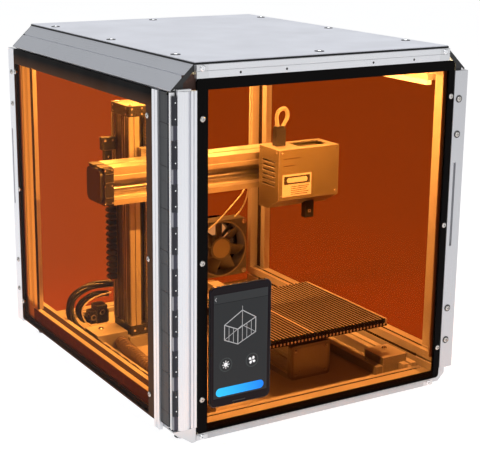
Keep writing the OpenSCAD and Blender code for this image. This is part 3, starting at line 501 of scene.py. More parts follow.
def piece_of(name, body, slot, material, build, smooth=False, bevel=0.0, stands_for=()):
    """One finished piece whose mesh the build function makes."""
    bm = bmesh.new()
    build(bm)
    piece = finished(name, mesh_of(bm, name), body, slot, material, smooth, bevel)
    if stands_for:
        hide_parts(*stands_for)
    return piece


def block_piece(name, body, slot, material, *blocks, bevel=0.0):
    """One piece made of blocks, each given by two opposite corners."""
    def build(bm):
        for low, high in blocks:
            add_block(bm, low, high)

    piece_of(name, body, slot, material, build, bevel=bevel)


def mm(*values):
    """A point given in mm."""
    return Vector(values) * MM


def add_button_head(bm, place, out, radius, height):
    """A screw's button head with a round recess; out is the way it faces."""
    out, place = Vector(out), Vector(place)
    across, aside = square_to(out)
    head = ((0, 1), (0.55, 1), (0.9, 0.82), (1, 0.62))
    socket = ((1, 0.45), (0.35, 0.42))
    add_skin(bm, [ring_points(place + out * (height * h), across, aside, radius * r, 24)
                  for h, r in head + socket])


def add_ring(bm, centre, out, inner, outer, height, sides=32):
    """A flat ring that stands height proud along out."""
    out, centre = Vector(out), Vector(centre)
    across, aside = square_to(out)
    section = ((0, inner), (0, outer), (height, outer), (height, inner))
    add_skin(bm, [ring_points(centre + out * h, across, aside, r, sides) for h, r in section], capped=False)


def screw_steel():
    return NODES["case_screws"].data.materials[0]


def screw_piece(name, body, heads):
    """Screws in one piece; each head is its place, the way it faces, its radius and its height."""
    def build(bm):
        for head in heads:
            add_button_head(bm, *head)

    piece_of(name, body, "bright_steel", screw_steel(), build)


# ---------- looks of the CAD nodes ----------

def paint(material, *names):
    for name in names:
        node = NODES[name]
        node.data.materials.clear()
        node.data.materials.append(material)


FRONT_AMBER = (0.72, 0.45, 0.25)
SIDE_AMBER = (0.86, 0.55, 0.28)
FAR_AMBER = (0.69, 0.385, 0.16)
HINGE_FOOT, KNUCKLE_PITCH = 22.5, 49.0
HINGE_LEFT_OF = -0.2026
KNUCKLE_EDGE = -0.208


def hinge_leaf_look():
    """Dark leaf with a fine seam at each end of each knuckle."""
    look = Look("dark_leaf", {"Metallic": 0.3, "Specular IOR Level": 0.3})
    run = look.math("MODULO", look.math("SUBTRACT", look.axis("Z"), HINGE_FOOT * MM), KNUCKLE_PITCH * MM)
    seam = look.plus(look.band(run, -0.001, 0.0005, 0.0002), look.band(run, 0.0165, 0.0175, 0.0002))
    worn = look.noise(1, 3, (300, 300, 14))
    steel = look.mix(worn, (0.022, 0.024, 0.028), (0.04, 0.043, 0.048))
    look.colour(look.mix(seam, steel, (0.004, 0.004, 0.005)))
    look.roughness(worn, 0.3, 0.7, 0.3, 0.45)
    look.bump(seam, -0.0004, 1.0, look.bevelled(0.0005))
    return look.mat


def door_metal(name, dark_to=None):
    """Bright extrusion; the part left of dark_to, which turns in the hinge, is dark, with a pale line along
    the barrel's edge as a painted highlight.
    """
    look = Look(name, {"Metallic": 0.75})
    lines = look.die_lines("Z")
    wear = look.times(look.plus(lines, look.noise(12, 3)), 0.5)
    metal = look.mix(wear, (0.75, 0.76, 0.8), (0.84, 0.85, 0.88))
    if dark_to is not None:
        x = look.axis("X")
        metal = look.mix(look.range(x, dark_to - 0.0002, dark_to, 1.0, 0.0), metal, (0.055, 0.055, 0.075))
        # Painted highlight: a pale line where the hinge barrel's edge catches the light.
        painted_barrel_highlight = look.range(x, KNUCKLE_EDGE - 0.0003, KNUCKLE_EDGE, 1.0, 0.0)
        metal = look.mix(painted_barrel_highlight, metal, (0.3, 0.3, 0.33))
    look.colour(metal)
    look.roughness(lines, 0.25, 0.75, 0.25, 0.36)
    look.bump(lines, 0.00002, 0.5, look.bevelled(0.0004))
    return look.mat


def post_look():
    """Corner posts: satin flanks, and the faces that look to the front painted brighter as lit: painted
    light.
    """
    look = Look("rail_post", {"Metallic": 0.3})
    lines = look.die_lines("Z")
    front_facing_lit = look.range(look.facing("Y"), -0.9, -0.6, 1.0, 0.0)
    flank = look.mix(lines, (0.56, 0.56, 0.56), (0.66, 0.66, 0.65))
    look.colour(look.mix(front_facing_lit, flank, (0.8, 0.79, 0.75)))
    look.roughness(lines, 0.25, 0.75, 0.3, 0.42)
    look.bump(lines, 0.00002, 0.5, look.bevelled(0.0004))
    return look.mat


def slat_look():
    """Bed slats: flanks painted dark as shade between the slats, and tops painted bright as lit from above,
    with soot blotches.
    """
    look = Look("bed_slats", {"Metallic": 0.5})
    top_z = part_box("slatted_bed")[1].z
    # Painted light: faces that look up, at the top of the bed, are bright; the flanks are dark as shade.
    up = look.range(look.facing("Z"), 0.6, 0.9)
    lit_slat_tops = look.times(up, look.range(look.axis("Z"), top_z - 0.0006, top_z - 0.0003))
    lines = look.noise(1, 3, (900, 20, 900))
    soot = look.noise(26, 4)
    flank = look.mix(soot, (0.014, 0.013, 0.012), (0.035, 0.032, 0.03))
    top = look.mix(lines, (0.3, 0.29, 0.3), (0.5, 0.48, 0.5))
    look.colour(look.mix(lit_slat_tops, flank, look.mix(look.range(soot, 0.6, 0.85), top, (0.25, 0.24, 0.23))))
    look.roughness(lines, 0.2, 0.8, 0.35, 0.55)
    look.bump(lines, 0.00003, 0.6)
    return look.mat


def dark_cap_look():
    """Moulded end cap, satin, with edges painted paler as a painted highlight."""
    look = Look("module_caps", {"Metallic": 0.2})
    cap_edge_highlight = look.times(look.edges(0.0008), 0.8)
    drift = look.noise(30, 3)
    plastic = look.mix(drift, (0.03, 0.028, 0.026), (0.06, 0.056, 0.052))
    look.colour(look.mix(cap_edge_highlight, plastic, (0.5, 0.49, 0.47)))
    look.roughness(drift, 0.3, 0.7, 0.3, 0.45)
    look.bump(look.noise(1500, 2), 0.00003, 0.5, look.bevelled(0.0008))
    return look.mat


def paint_panes():
    """The doors' panes have a black print round the edge, broadened beside the hinge and at the top to stand
    for the posts and rail webs in shade behind it: partly print, partly painted shade.
    """
    front, left = (0.0142, 0.0092, PRINT, 0.0126), (0.0158, PRINT, PRINT, 0.0205)
    for side, node, tint, across, *more in (("front", "front_door_panel", FRONT_AMBER, "X", 0.12, front),
                                            ("left", "left_door_panel", SIDE_AMBER, "Y", 0.14, left, 1.0),
                                            ("right", "right_panel", FAR_AMBER, "Y"),
                                            ("rear", "rear_panel", FAR_AMBER, "X")):
        paint(amber_acrylic(f"amber_{side}_pane", node, tint, across, *more), node)


def paint_case():
    lit_top_colour = (1.0, 1.0, 0.97)
    paint(anodised("rail_side", (0.73, 0.745, 0.79), along="Y"), "top_rail_left", "top_rail_right")
    # The lower rails' faces that look up take the bright top colour: painted light.
    paint(machined("rail_low_side", "Y", (0.62, 0.63, 0.66), lit_top_colour),
          "bottom_rail_left", "bottom_rail_right", "floor_rails")
    paint(anodised("rail_front", (0.76, 0.77, 0.8), along="X"), "top_rail_front", "top_rail_rear")
    # The lower front and rear rails are painted darker than the upper ones: painted shade.
    paint(machined("rail_low_front", "X", (0.5, 0.51, 0.53), lit_top_colour), "bottom_rail_front", "bottom_rail_rear")
    paint(post_look(), "corner_posts")
    paint(anodised("rail_corner", (0.7, 0.71, 0.73), along="X"), "corner_blocks")
    paint(anodised("hinge_post_metal", (0.035, 0.036, 0.045), 0.45, along="Z", painted_edge_highlight=0.1), "hinge_post")
    paint(door_metal("front_door_metal", HINGE_LEFT_OF), "front_door_profile")
    paint(door_metal("door_metal"), "left_door_profile", "left_door_handle")
    # The handle strip is painted darker than the door profile: painted shade.
    paint(anodised("handle_metal", (0.57, 0.575, 0.6), along="Z"), "front_door_handle")
    paint(hinge_leaf_look(), "left_hinge_leaf")
    paint(painted("top_sheet_coat", (0.8, 0.815, 0.88), 0.42, grain=1800), "top_panel")
    paint(painted("floor_sheet_coat", (0.62, 0.58, 0.52), 0.4), "floor_panel")
    paint(rubber("seal_rubber"), "top_gasket", "front_door_seal", "left_door_seal", "feet")
    paint(polished_steel(), "case_screws", "hinge_pins")
    paint(polished_steel("door_screw_steel", (0.4, 0.38, 0.36), (0.62, 0.6, 0.57)),
          "front_door_screws", "left_door_screws")
    paint_panes()


def paint_machine():
    paint(painted("black_moulded", (0.018, 0.018, 0.02), 0.42),
          "duct_collar", "touchscreen_holder", "laser_nozzle")
    paint(painted("fan_shell", (0.16, 0.155, 0.14), 0.38), "fan_frame")
    paint(painted("fan_blades", (0.22, 0.215, 0.19), 0.3), "fan_rotor", "laser_fan")
    paint(glowing("led_glow", (1.0, 0.9, 0.72), 4.0), "led_strips")
    paint(machined("module_metal", "X", (0.62, 0.58, 0.5)), "x_arm")
    paint(machined("base_metal", "X", (0.4, 0.38, 0.35), (0.55, 0.54, 0.52)), "base_frame")
    paint(column_look(), "z_column")
    paint(machined("carriage_metal", "Z", (0.26, 0.245, 0.22)), "z_carriage")
    paint(machined("y_rail_metal", "Y", (0.4, 0.38, 0.35)), "y_rail", "base_brackets")
    paint(slat_look(), "slatted_bed")
    paint(dark_cap_look(), "x_end_caps", "z_end_caps", "x_carriage", "y_carriage")
    paint(painted("rail_cap_coat", (0.3, 0.27, 0.22), 0.35), "y_end_caps")
    paint(machined("head_coat", "X", (0.29, 0.265, 0.17), (0.85, 0.84, 0.8)), "laser_housing")
    for name, axis in (("x_screw", "X"), ("y_screw", "Y"), ("z_screw", "Z")):
        low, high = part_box(name)
        paint(threaded(name + "_steel", axis, (low + high) / 2), name)
    paint(painted("screen_shell", (0.012, 0.012, 0.013), 0.25, depth=0.000005), "touchscreen_body")


# ---------- touchscreen ----------

SCREEN_LOW, SCREEN_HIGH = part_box("touchscreen_glass")
SCREEN_MIDDLE = (SCREEN_LOW + SCREEN_HIGH) / 2
GLASS_FRONT = SCREEN_LOW.y + 0.0002


def on_screen(u, v, lift=0.0):
    """A point on the glass: u and v in mm right of and above its middle, lift in mm in front of it."""
    return Vector((SCREEN_MIDDLE.x + u * MM, GLASS_FRONT - lift * MM, SCREEN_MIDDLE.z + v * MM))


def add_screen_shape(bm, outline, lift, depth):
    points = [on_screen(u, v, lift) for u, v in outline]
    add_prism(bm, points, Vector((0, depth * MM, 0)))


def round_corners(half_u, half_v, radius, u=0.0, v=0.0, steps=6):
    """Outline of a rectangle with round corners, centred on (u, v)."""
    outline = []
    for quarter, (i, j) in enumerate(((1, 1), (-1, 1), (-1, -1), (1, -1))):
        for k in range(steps + 1):
            t = math.pi / 2 * (quarter + k / steps)
            outline.append((u + i * (half_u - radius) + radius * math.cos(t),
                            v + j * (half_v - radius) + radius * math.sin(t)))
    return outline


def add_screen_line(bm, a, b, width, lift=0.12):
    """A straight line with square ends; width and lift in mm."""
    run = (Vector(b) - Vector(a)).normalized() * width / 2
    side = Vector((-run.y, run.x))
    a, b = Vector(a) - run, Vector(b) + run
    add_screen_shape(bm, [tuple(p) for p in (a + side, a - side, b - side, b + side)], lift, 0.1)


def add_screen_ring(bm, u, v, inner, outer):
    add_ring(bm, on_screen(u, v, 0.03), (0, -1, 0), inner * MM, outer * MM, 0.09 * MM, 40)


BOX_TOP = {"back": (1.8, 41.3), "left": (-22.4, 26.6), "front": (-4.2, 18.7), "right": (20.3, 30.0)}
BOX_DROP = 18.4
BLADE = ((0.4, 0.6), (3.1, 0.2), (4.4, 1.7), (3.6, 3.9), (1.7, 3.6))
PILL_HALF = 33
SUN = (-20.3, -22.6)
FAN = (15.8, -23.2)


def build_box_drawing(bm):
    """The wireframe of a machine's work space."""
    low = {k: (u, v - BOX_DROP) for k, (u, v) in BOX_TOP.items()}
    order = ("back", "left", "front", "right")
    for a, b in zip(order, order[1:] + order[:1]):
        add_screen_line(bm, BOX_TOP[a], BOX_TOP[b], 1.0)
        add_screen_line(bm, low[a], low[b], 0.9 if "back" not in (a, b) else 0.6)
    for k in order:
        add_screen_line(bm, BOX_TOP[k], low[k], 1.0 if k != "back" else 0.6)
    for near, far, count in (("left", "front", 3), ("front", "right", 4)):
        for i in range(1, count):
            t = i / count
            u = BOX_TOP[near][0] + t * (BOX_TOP[far][0] - BOX_TOP[near][0])
            v = BOX_TOP[near][1] + t * (BOX_TOP[far][1] - BOX_TOP[near][1])
            add_screen_line(bm, (u, v), (u, v - BOX_DROP), 0.55)
    add_screen_line(bm, BOX_TOP["back"], (BOX_TOP["back"][0], 46.5), 0.5)
    add_screen_line(bm, (-33.6, 61.2), (-35.4, 59.4), 0.6)
    add_screen_line(bm, (-35.4, 59.4), (-33.6, 57.6), 0.6)


def build_icons(bm):
    """A sun for the light and a fan for the exhaust, in white."""
    u, v = SUN
    add_screen_shape(bm, round_corners(2.5, 2.5, 2.5, u, v), 0.12, 0.1)
    for k in range(8):
        t = math.pi / 4 * k
        add_screen_line(bm, (u + 3.3 * math.cos(t), v + 3.3 * math.sin(t)),
                        (u + 4.6 * math.cos(t), v + 4.6 * math.sin(t)), 0.8)
    u, v = FAN
    for k in range(4):
        t = math.pi / 2 * k + 0.3
        c, s = math.cos(t), math.sin(t)
        add_screen_shape(bm, [(u + x * c - y * s, v + x * s + y * c) for x, y in BLADE], 0.12, 0.1)


def screen_colour(name, colour, glow=0.0, roughness=0.3):
    """Display colour: a fine cell pattern that glows a little."""
    look = Look(name, {"Emission Color": colour, "Emission Strength": glow, "Specular IOR Level": 0.12})
    cells = look.noise(5000, 1)
    look.colour(look.mix(cells, shade(colour, 0.94), colour))
    look.roughness(cells, 0.2, 0.8, roughness - 0.03, roughness + 0.03)
    return look.mat


def pill_look():
    """The button's blue, darker to the right."""
    look = Look("button_blue", {"Roughness": 0.3, "Specular IOR Level": 0.1, "Emission Strength": 0.45})
    cells = look.noise(4000, 1)
    start = SCREEN_MIDDLE.x - PILL_HALF * MM
    place = look.plus(look.axis("X"), look.times(cells, 0.002))
    across = look.range(place, start, start + 2 * PILL_HALF * MM)
    blue = look.mix(across, (0.03, 0.5, 0.85), (0.01, 0.2, 0.85))
    look.colour(blue)
    look.fill(look.bsdf, {"Emission Color": blue})
    return look.mat


def display_piece(name, look, build, slot="screen_glass", **more):
    piece_of(name, "front_door", slot, look, build, **more)


def display_sheet(name, look, outline, lift, depth=0.1, **more):
    """A flat shape of the display, lift mm in front of the glass."""
    display_piece(name, look, lambda bm: add_screen_shape(bm, outline, lift, depth), **more)


def build_icon_rings(bm):
    for centre in (SUN, FAN):
        add_screen_ring(bm, *centre, 7.9, 8.5)


def make_screen():
    half_u = (SCREEN_HIGH.x - SCREEN_LOW.x) / 2 / MM
    half_v = (SCREEN_HIGH.z - SCREEN_LOW.z) / 2 / MM
    display_sheet("screen_cover_glass", screen_colour("screen_glass", (0.008, 0.004, 0.006), 0.0, 0.16),
                  round_corners(half_u, half_v, 7.2), 0.0, 0.9, bevel=0.0003,
                  stands_for=("touchscreen_glass",))
    display_sheet("screen_display", screen_colour("display_dark", (0.024, 0.026, 0.028), 0.25),
                  round_corners(36.8, 64.0, 0.8, 0, 0.6), 0.04)
    display_sheet("screen_header", screen_colour("display_header", (0.03, 0.032, 0.034), 0.3),
                  round_corners(36.6, 5.1, 0.6, 0, 59.3), 0.07)
    display_piece("screen_header_line", screen_colour("display_line", (0.006, 0.006, 0.007)),
                  lambda bm: add_screen_line(bm, (-36.5, 53.9), (36.5, 53.9), 0.5, 0.08))
    display_piece("screen_box_drawing", screen_colour("display_lines", (0.42, 0.42, 0.43), 0.35),
                  build_box_drawing)
    display_piece("screen_icons", screen_colour("display_white", (0.75, 0.75, 0.76), 0.5), build_icons)
    display_piece("screen_icon_rings", screen_colour("display_dim", (0.07, 0.08, 0.08), 0.25),
                  build_icon_rings)
    display_sheet("screen_button", pill_look(), round_corners(PILL_HALF, 5.3, 5.3, -0.6, -56.2, 10), 0.1)
    display_sheet("screen_speaker", screen_colour("speaker_slot", (0.05, 0.045, 0.04)),
                  round_corners(9, 0.5, 0.5, -2, -70.5), 0.05, slot="screen_shell")


# ---------- cables and hose ----------

HOSE_ROUTE = [(-132, 60.8, 23), (-135, 30, 22), (-138, -5, 22), (-141, -40, 22), (-143, -80, 22),
              (-143.5, -120, 22), (-143.5, -170, 22), (-143.5, -210.3, 22)]
LOOP_ROUTE = [(-106, 141, 82), (-124, 141, 84), (-142, 140, 83), (-158, 138, 79), (-170, 136, 71),
              (-176, 134, 60), (-177, 130, 49), (-175, 123, 38), (-172, 112, 31.5), (-171, 96, 29.8),
              (-171, 70, 29.8), (-171, -20, 29.8), (-171, -110, 29.8), (-171, -198, 29.8),
              (-171, -224.8, 29.8)]
LOWER_ROUTE = [(-114, 139, 69), (-128, 139, 70), (-143, 138, 68.5), (-156, 136, 63), (-163, 133, 54),
               (-162, 131, 45), (-155, 130, 38), (-146, 133, 36)]
SIGNAL_ROUTE = [(-116, 123, 75), (-130, 123, 74), (-145, 122, 71), (-157, 121, 65), (-163, 120, 56),
                (-162, 119, 45), (-155, 118, 35), (-144, 117, 28), (-132, 116.5, 25), (-121.5, 116.5, 24.5)]
FAN_WIRE_A = [(92, 208, 120), (110, 208, 133), (128, 210, 147), (146, 214, 160), (160, 216.5, 172),
              (169, 218, 190), (173, 220, 215), (175, 221, 250), (175, 221, 300), (175, 221, 370),
              (175, 221, 438.9)]
FAN_WIRE_B = [(145, 216, 134), (152, 216, 139), (161, 216, 150), (168, 217, 164), (172.5, 218, 185),
              (176, 219, 215), (178.4, 220, 250), (178.6, 220, 300), (178.6, 220, 370), (178.6, 220, 438.9)]
PLUG_ROUTE = [(57.2, -40, 326), (56.4, -40, 333), (55.4, -40, 339), (56.6, -40, 345), (60.4, -40, 349.5),
              (65.6, -40, 351.3), (70.4, -40, 349.3), (72.8, -40, 344), (72, -40, 337.5), (68.6, -40, 332),
              (65.2, -40, 326)]


def add_strands(bm, route, count, radius, spread, turns_per_metre):
    """Strands that wind round a route."""
    for k in range(count):
        path = []
        for point, distance, across, aside in frames_along(route):
            t = 2 * math.pi * (k / count + turns_per_metre * distance)
            path.append(point + spread * (math.cos(t) * across + math.sin(t) * aside))
        add_tube(bm, path, lambda d: radius, 8)


def cable_look(name, colour, sheen):
    """Smooth cable jacket."""
    look = Look(name, {"Specular IOR Level": 0.6})
    drift = look.noise(300, 2)
    look.colour(look.mix(drift, shade(colour, 0.8), colour))
    look.roughness(drift, 0.3, 0.7, sheen - 0.05, sheen + 0.08)
    look.bump(look.noise(2500, 2), 0.00002, 0.5)
    return look.mat


def hose_look(name, low, high):
    """Ribbed hose plastic with a little dust."""
    look = Look(name, {"Specular IOR Level": 0.5})
    drift = look.noise(60, 3)
    look.colour(look.mix(drift, low, high))
    look.roughness(drift, 0.3, 0.7, 0.3, 0.45)
    look.bump(look.noise(1800, 2), 0.00002, 0.5)
    return look.mat


def add_ribs(bm, route, pitch, foot, crest):
    """Rounded ribs round a route, a pitch apart."""
    travelled, due = 0.0, pitch / 2
    for a, b in zip(route, route[1:]):
        travelled += (b - a).length
        if travelled >= due:
            ahead = (b - a).normalized()
            half = pitch * 0.27
            path = [b + ahead * half * k for k in (-1, -0.6, 0, 0.6, 1)]
            radii = (foot, crest * 0.97, crest, crest * 0.97, foot)
            add_tube(bm, path, lambda d: radii[min(4, round(d / half * 2 + 0.001))], 28)
            due += pitch


def make_hose():
    route = smooth_route(HOSE_ROUTE, 0.0006)
    core = 0.0074
    # Painted shade: the core between the ribs is much darker than the ribs, as shade in the grooves.
    piece_of("ribbed_hose", "case", "hose_grey",
             hose_look("hose_groove_shade", (0.02, 0.016, 0.012), (0.04, 0.035, 0.03)),
             lambda bm: add_tube(bm, route[::6], lambda d: core, 28), smooth=True,
             stands_for=("corrugated_hose",))
    piece_of("hose_ribs", "case", "hose_grey",
             hose_look("hose_ridges", (0.15, 0.105, 0.065), (0.25, 0.175, 0.105)),
             lambda bm: add_ribs(bm, route, 0.0078, core, 0.0097), smooth=True)


def build_wires(bm):
    for route in (SIGNAL_ROUTE, FAN_WIRE_A, FAN_WIRE_B):
        add_tube(bm, smooth_route(route, 0.004), lambda d: 0.00115, 10)


def make_cables():
    black = cable_look("cable_black_jacket", (0.022, 0.021, 0.02), 0.32)
    piece_of("cable_bundle", "case", "cable_black", black,
             lambda bm: add_strands(bm, smooth_route(LOOP_ROUTE, 0.004), 5, 0.0023, 0.0036, 7),
             smooth=True, stands_for=("cable_loop",))
    piece_of("lower_cable_bundle", "case", "cable_black", black,
             lambda bm: add_strands(bm, smooth_route(LOWER_ROUTE, 0.004), 4, 0.002, 0.003, 9), smooth=True)
    piece_of("thin_wire_set", "case", "cable_black", cable_look("wire_jacket", (0.85, 0.82, 0.76), 0.3),
             build_wires, smooth=True, stands_for=("thin_wires",))


def make_plug():
    """The laser head's plug, its grip ribs and the wires that loop out of it."""
    low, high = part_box("laser_plug")
    right, top = 0.0674, 0.328

    def plug(bm):
        add_block(bm, (low.x + 0.0001, low.y, low.z), (right, high.y, top - 0.003))
        add_block(bm, (low.x + 0.001, low.y + 0.001, top - 0.0032), (right - 0.001, high.y - 0.001, top))
        for z in (0.306, 0.3105, 0.315):
            add_block(bm, (low.x + 0.0015, low.y - 0.00001, z), (right - 0.0015, low.y + 0.001, z + 0.0012))

    piece_of("plug_shell", "head", "black_plastic", painted("plug_moulding", (0.03, 0.028, 0.027), 0.3), plug,
             bevel=0.0006, stands_for=("laser_plug",))
    piece_of("plug_wires", "head", "cable_black", cable_look("plug_wire_jacket", (0.5, 0.46, 0.4), 0.35),
             lambda bm: add_strands(bm, smooth_route(PLUG_ROUTE, 0.0015), 4, 0.0012, 0.0017, 10),
             smooth=True)


# ---------- case details ----------

FRONT, BACK, LEFT, UP = (0, -1, 0), (0, 1, 0), (-1, 0, 0), (0, 0, 1)
RAIL_OUTER, RAIL_TOP = 209.0, 447.0
TOP_SCREWS = [(x, y) for x in (-166.5, 166.5) for y in (-168, 3, 180)] + [(0, 211.5), (0, -215.5)]
FRONT_RAIL_HOLES = (-123, -61.5, 61.5, 123)
STRIP_SCREWS = (63, 107, 338, 383)


def rail_end_outline(side):
    """The upper side rail's end, as (x, z) in mm; side is 1 for the right rail and -1 for the left."""
    section = ((29, 0), (17.4, 10.8), (0.3, 27), (1.4, 28.2), (6, 24.5), (6, 37.5), (15.4, 37.5),
               (15.4, 20), (28, 8), (29.4, 8))
    return [(side * (RAIL_OUTER - a), RAIL_TOP - b) for a, b in section]


def build_end_caps(bm):
    for y in (-235.6, 234.6):
        for side in (1, -1):
            add_prism(bm, [mm(x, y, z) for x, z in rail_end_outline(side)], mm(0, 1.2, 0))


def build_top_washers(bm):
    for x, y in TOP_SCREWS:
        add_ring(bm, mm(x, y, 449.9), UP, 0.0033, 0.0058, 0.0007)


def build_sockets(bm):
    """Dark plugs in the sockets of the top screws and in the open holes along the front rail: painted shade
    in the recesses.
    """
    for x, y in TOP_SCREWS:
        add_rod(bm, mm(x, y, 450.4), mm(x, y, 451.55), 0.0017, 6)
    for x in FRONT_RAIL_HOLES:
        add_rod(bm, mm(x, -240.3, 436), mm(x, -238, 436), 0.00145, 16)


def make_rail_ends(dark):
    piece_of("rail_end_caps", "case", "black_plastic", dark, build_end_caps)
    # A dark brown block over the open corner above the post: painted shade.
    block_piece("corner_shade_plug", "case", "black_plastic", rubber("corner_shade_block", (0.05, 0.024, 0.018)),
                (mm(-194.5, -235.2, 419.2), mm(-177.5, -233.5, 436)))
    piece_of("top_screw_washers", "case", "black_plastic", dark, build_top_washers)
    piece_of("top_screw_sockets", "case", "black_plastic", dark, build_sockets)


def build_shade_strips(bm):
    """Dark strips on the rail under the left door and in the channels of the corner posts, where the rail web
    and the channels lie in shade: painted shade.
    """
    add_block(bm, mm(-203.9, -186, 14), mm(-203.05, 200, 24.3))
    add_block(bm, mm(-196.6, -186, 43.5), mm(-187.6, 196, 43.8))
    for side in (-1, 1):
        x = side * 195.4
        add_block(bm, mm(x - 1.6, -224.7, 44), mm(x + 1.6, -214.8, 408))
        add_block(bm, mm(x - 1.6, 214.8, 44), mm(x + 1.6, 224.7, 408))
    add_block(bm, mm(-202.9, 188.3, 44), mm(-199.6, 189, 408))


# Dark strips down in the rails' T-slots: painted shade in the slots.
def build_slot_shade(bm):
    for side in (-1, 1):
        x, y = side * 189.5, side * 218
        add_block(bm, mm(x - 1.95, -200, 41.8), mm(x + 1.95, 200, 43.2))
        x = side * 182.2
        add_block(bm, mm(x - 0.8, -200, 29.05), mm(x + 0.8, 200, 32.95))
        add_block(bm, mm(-170, y - 1.45, 17.6), mm(170, y + 1.45, 19.6))


def make_strips(silver):
    """Dark strips on the rails behind the doors and in the rail slots as painted shade, a bright line on them
    as a painted highlight, the hinge's cover and the light bar.
    """
    # Dark and brown rubber looks for the strips that stand for shade: painted shade.
    shade_strip_look = rubber("painted_shade_strip", (0.035, 0.018, 0.01))
    brown = rubber("painted_shade_brown", (0.11, 0.05, 0.024))
    piece_of("door_shade_strips", "case", "gasket_rubber", shade_strip_look, build_shade_strips)
    block_piece("door_shade_upper", "case", "gasket_rubber", brown,
                (mm(-203.9, -186, 26.2), mm(-203.05, 200, 42.8)))
    # A silver line between the dark strips: a painted highlight on the seal's lip.
    block_piece("door_highlight_seam", "case", "rail_aluminium", silver,
                (mm(-203.95, -186, 24.4), mm(-203.05, 200, 26.1)))
    block_piece("hinge_cover", "case", "rail_aluminium", silver,
                (mm(-208.9, -234.3, 21), mm(-203.2, -231, 418)), bevel=0.0004)
    piece_of("rail_slot_shade", "case", "gasket_rubber", shade_strip_look, build_slot_shade)
    block_piece("light_bar_right", "case", "led_white", glowing("light_bar_diffuser", (1.0, 0.93, 0.8), 4.4),
                (mm(184.5, -192, 394.6), mm(192.8, 190, 400.4)), bevel=0.0008)
    block_piece("light_bar_housing", "case", "rail_aluminium", silver,
                (mm(186, -192, 400.4), mm(202.8, 190, 408.9)), bevel=0.0005)


def build_strip_seats(bm):
    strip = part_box("front_door_handle")[0].y
    for z in STRIP_SCREWS:
        add_ring(bm, mm(196.5, strip / MM, z), FRONT, 0.0033, 0.0047, 0.0005)


def build_duct_grips(bm):
    low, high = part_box("duct_collar")
    middle = (low + high) / 2
    radius = (high.x - low.x) / 2 - 0.008
    for y in (0.2432, 0.2462, 0.2492):
        add_ring(bm, (middle.x, y, middle.z), BACK, radius - 0.001, radius + 0.0012, 0.0012, 64)


def build_rivets(bm):
    """Two small rivets at each fixed knuckle of the front hinge."""
    for i in range(8):
        for dz in (24, 42):
            z = HINGE_FOOT + KNUCKLE_PITCH * i + dz
            add_rod(bm, mm(-205.9, -240.3, z), mm(-205.9, -240.9, z), 0.0008, 10)


def make_case_details():
    dark = painted("end_cap_plastic", (0.014, 0.014, 0.015), 0.4)
    silver = anodised("hinge_cover_metal", (0.95, 0.95, 0.97), 0.4, 0.2, along="Z")
    make_rail_ends(dark)
    make_strips(silver)
    piece_of("handle_screw_seats", "front_door", "black_plastic", dark, build_strip_seats)
    piece_of("duct_grip_rings", "case", "black_plastic", dark, build_duct_grips)
    piece_of("hinge_rivets", "case", "bright_steel", screw_steel(), build_rivets)


# ---------- machine details ----------

def make_head_label(front):
    """A blank label: a plate, a dark band and a rounded panel on it, and plain bars for print."""
    plate = painted("label_plate", (0.75, 0.74, 0.7), 0.35, depth=0.000004)
    dark = painted("label_band", (0.06, 0.055, 0.05), 0.4, depth=0.000004)
    ink = painted("mark_ink", (0.12, 0.07, 0.03), 0.4, depth=0.000004)
    block_piece("head_label_plate", "head", "head_paint", plate,
                ((0.047, front - 0.0005, 0.2365), (0.0935, front, 0.267)), bevel=0.0002)
    block_piece("head_label_band", "head", "head_paint", dark,
                ((0.0495, front - 0.0007, 0.2535), (0.091, front - 0.0004, 0.2645)))
    bars = [((x0, front - 0.0003, z - 0.0012), (x1, front, z))
            for x0, x1, z in ((0.0487, 0.0545, 0.289), (0.0565, 0.075, 0.2893), (0.0487, 0.066, 0.2795))]
    for i in range(5):
        z = 0.2495 - 0.0026 * i
        bars.append(((0.0605, front - 0.0006, z), (0.0895 - 0.002 * (i % 3), front - 0.0004, z + 0.0009)))
    block_piece("head_plain_marks", "head", "head_paint", ink, *bars)
    panel = [(x * MM, front - 0.0007, z * MM) for x, z in round_corners(16.5, 3.4, 3.2, 70.3, 259)]
    piece_of("head_label_panel", "head", "head_paint", plate,
             lambda bm: add_prism(bm, panel, (0, -0.0002, 0)))


def make_head_details():
    low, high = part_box("laser_housing")
    make_head_label(low.y)
    heads = [((x, low.y, z), FRONT, 0.0015, 0.0008)
             for x in (low.x + 0.004, high.x - 0.004) for z in (low.z + 0.02, high.z - 0.004)]
    heads += [((low.x, y, high.z - 0.004), LEFT, 0.0015, 0.0008) for y in (low.y + 0.005, high.y - 0.005)]
    screw_piece("head_screws", "head", heads)
    starts = [0.084 + 0.0042 * i for i in range(11)]
    fins = [((x, -0.0565, 0.274), (x + 0.0012, -0.0285, 0.2955)) for x in starts]
    foot = ((0.0825, -0.0567, 0.2715), (0.1285, -0.0283, 0.2745))
    block_piece("heat_sink_fins", "head", "machine_aluminium",
                anodised("heat_sink_metal", (0.3, 0.3, 0.31), 0.35, 0.7, along="Z"), *fins, foot)
    piece_of("nozzle_mark", "head", "bright_steel", screw_steel(),
             lambda bm: add_ring(bm, (0.1024, -0.0545, 0.2085), FRONT, 0.0012, 0.0026, 0.0003, 20))


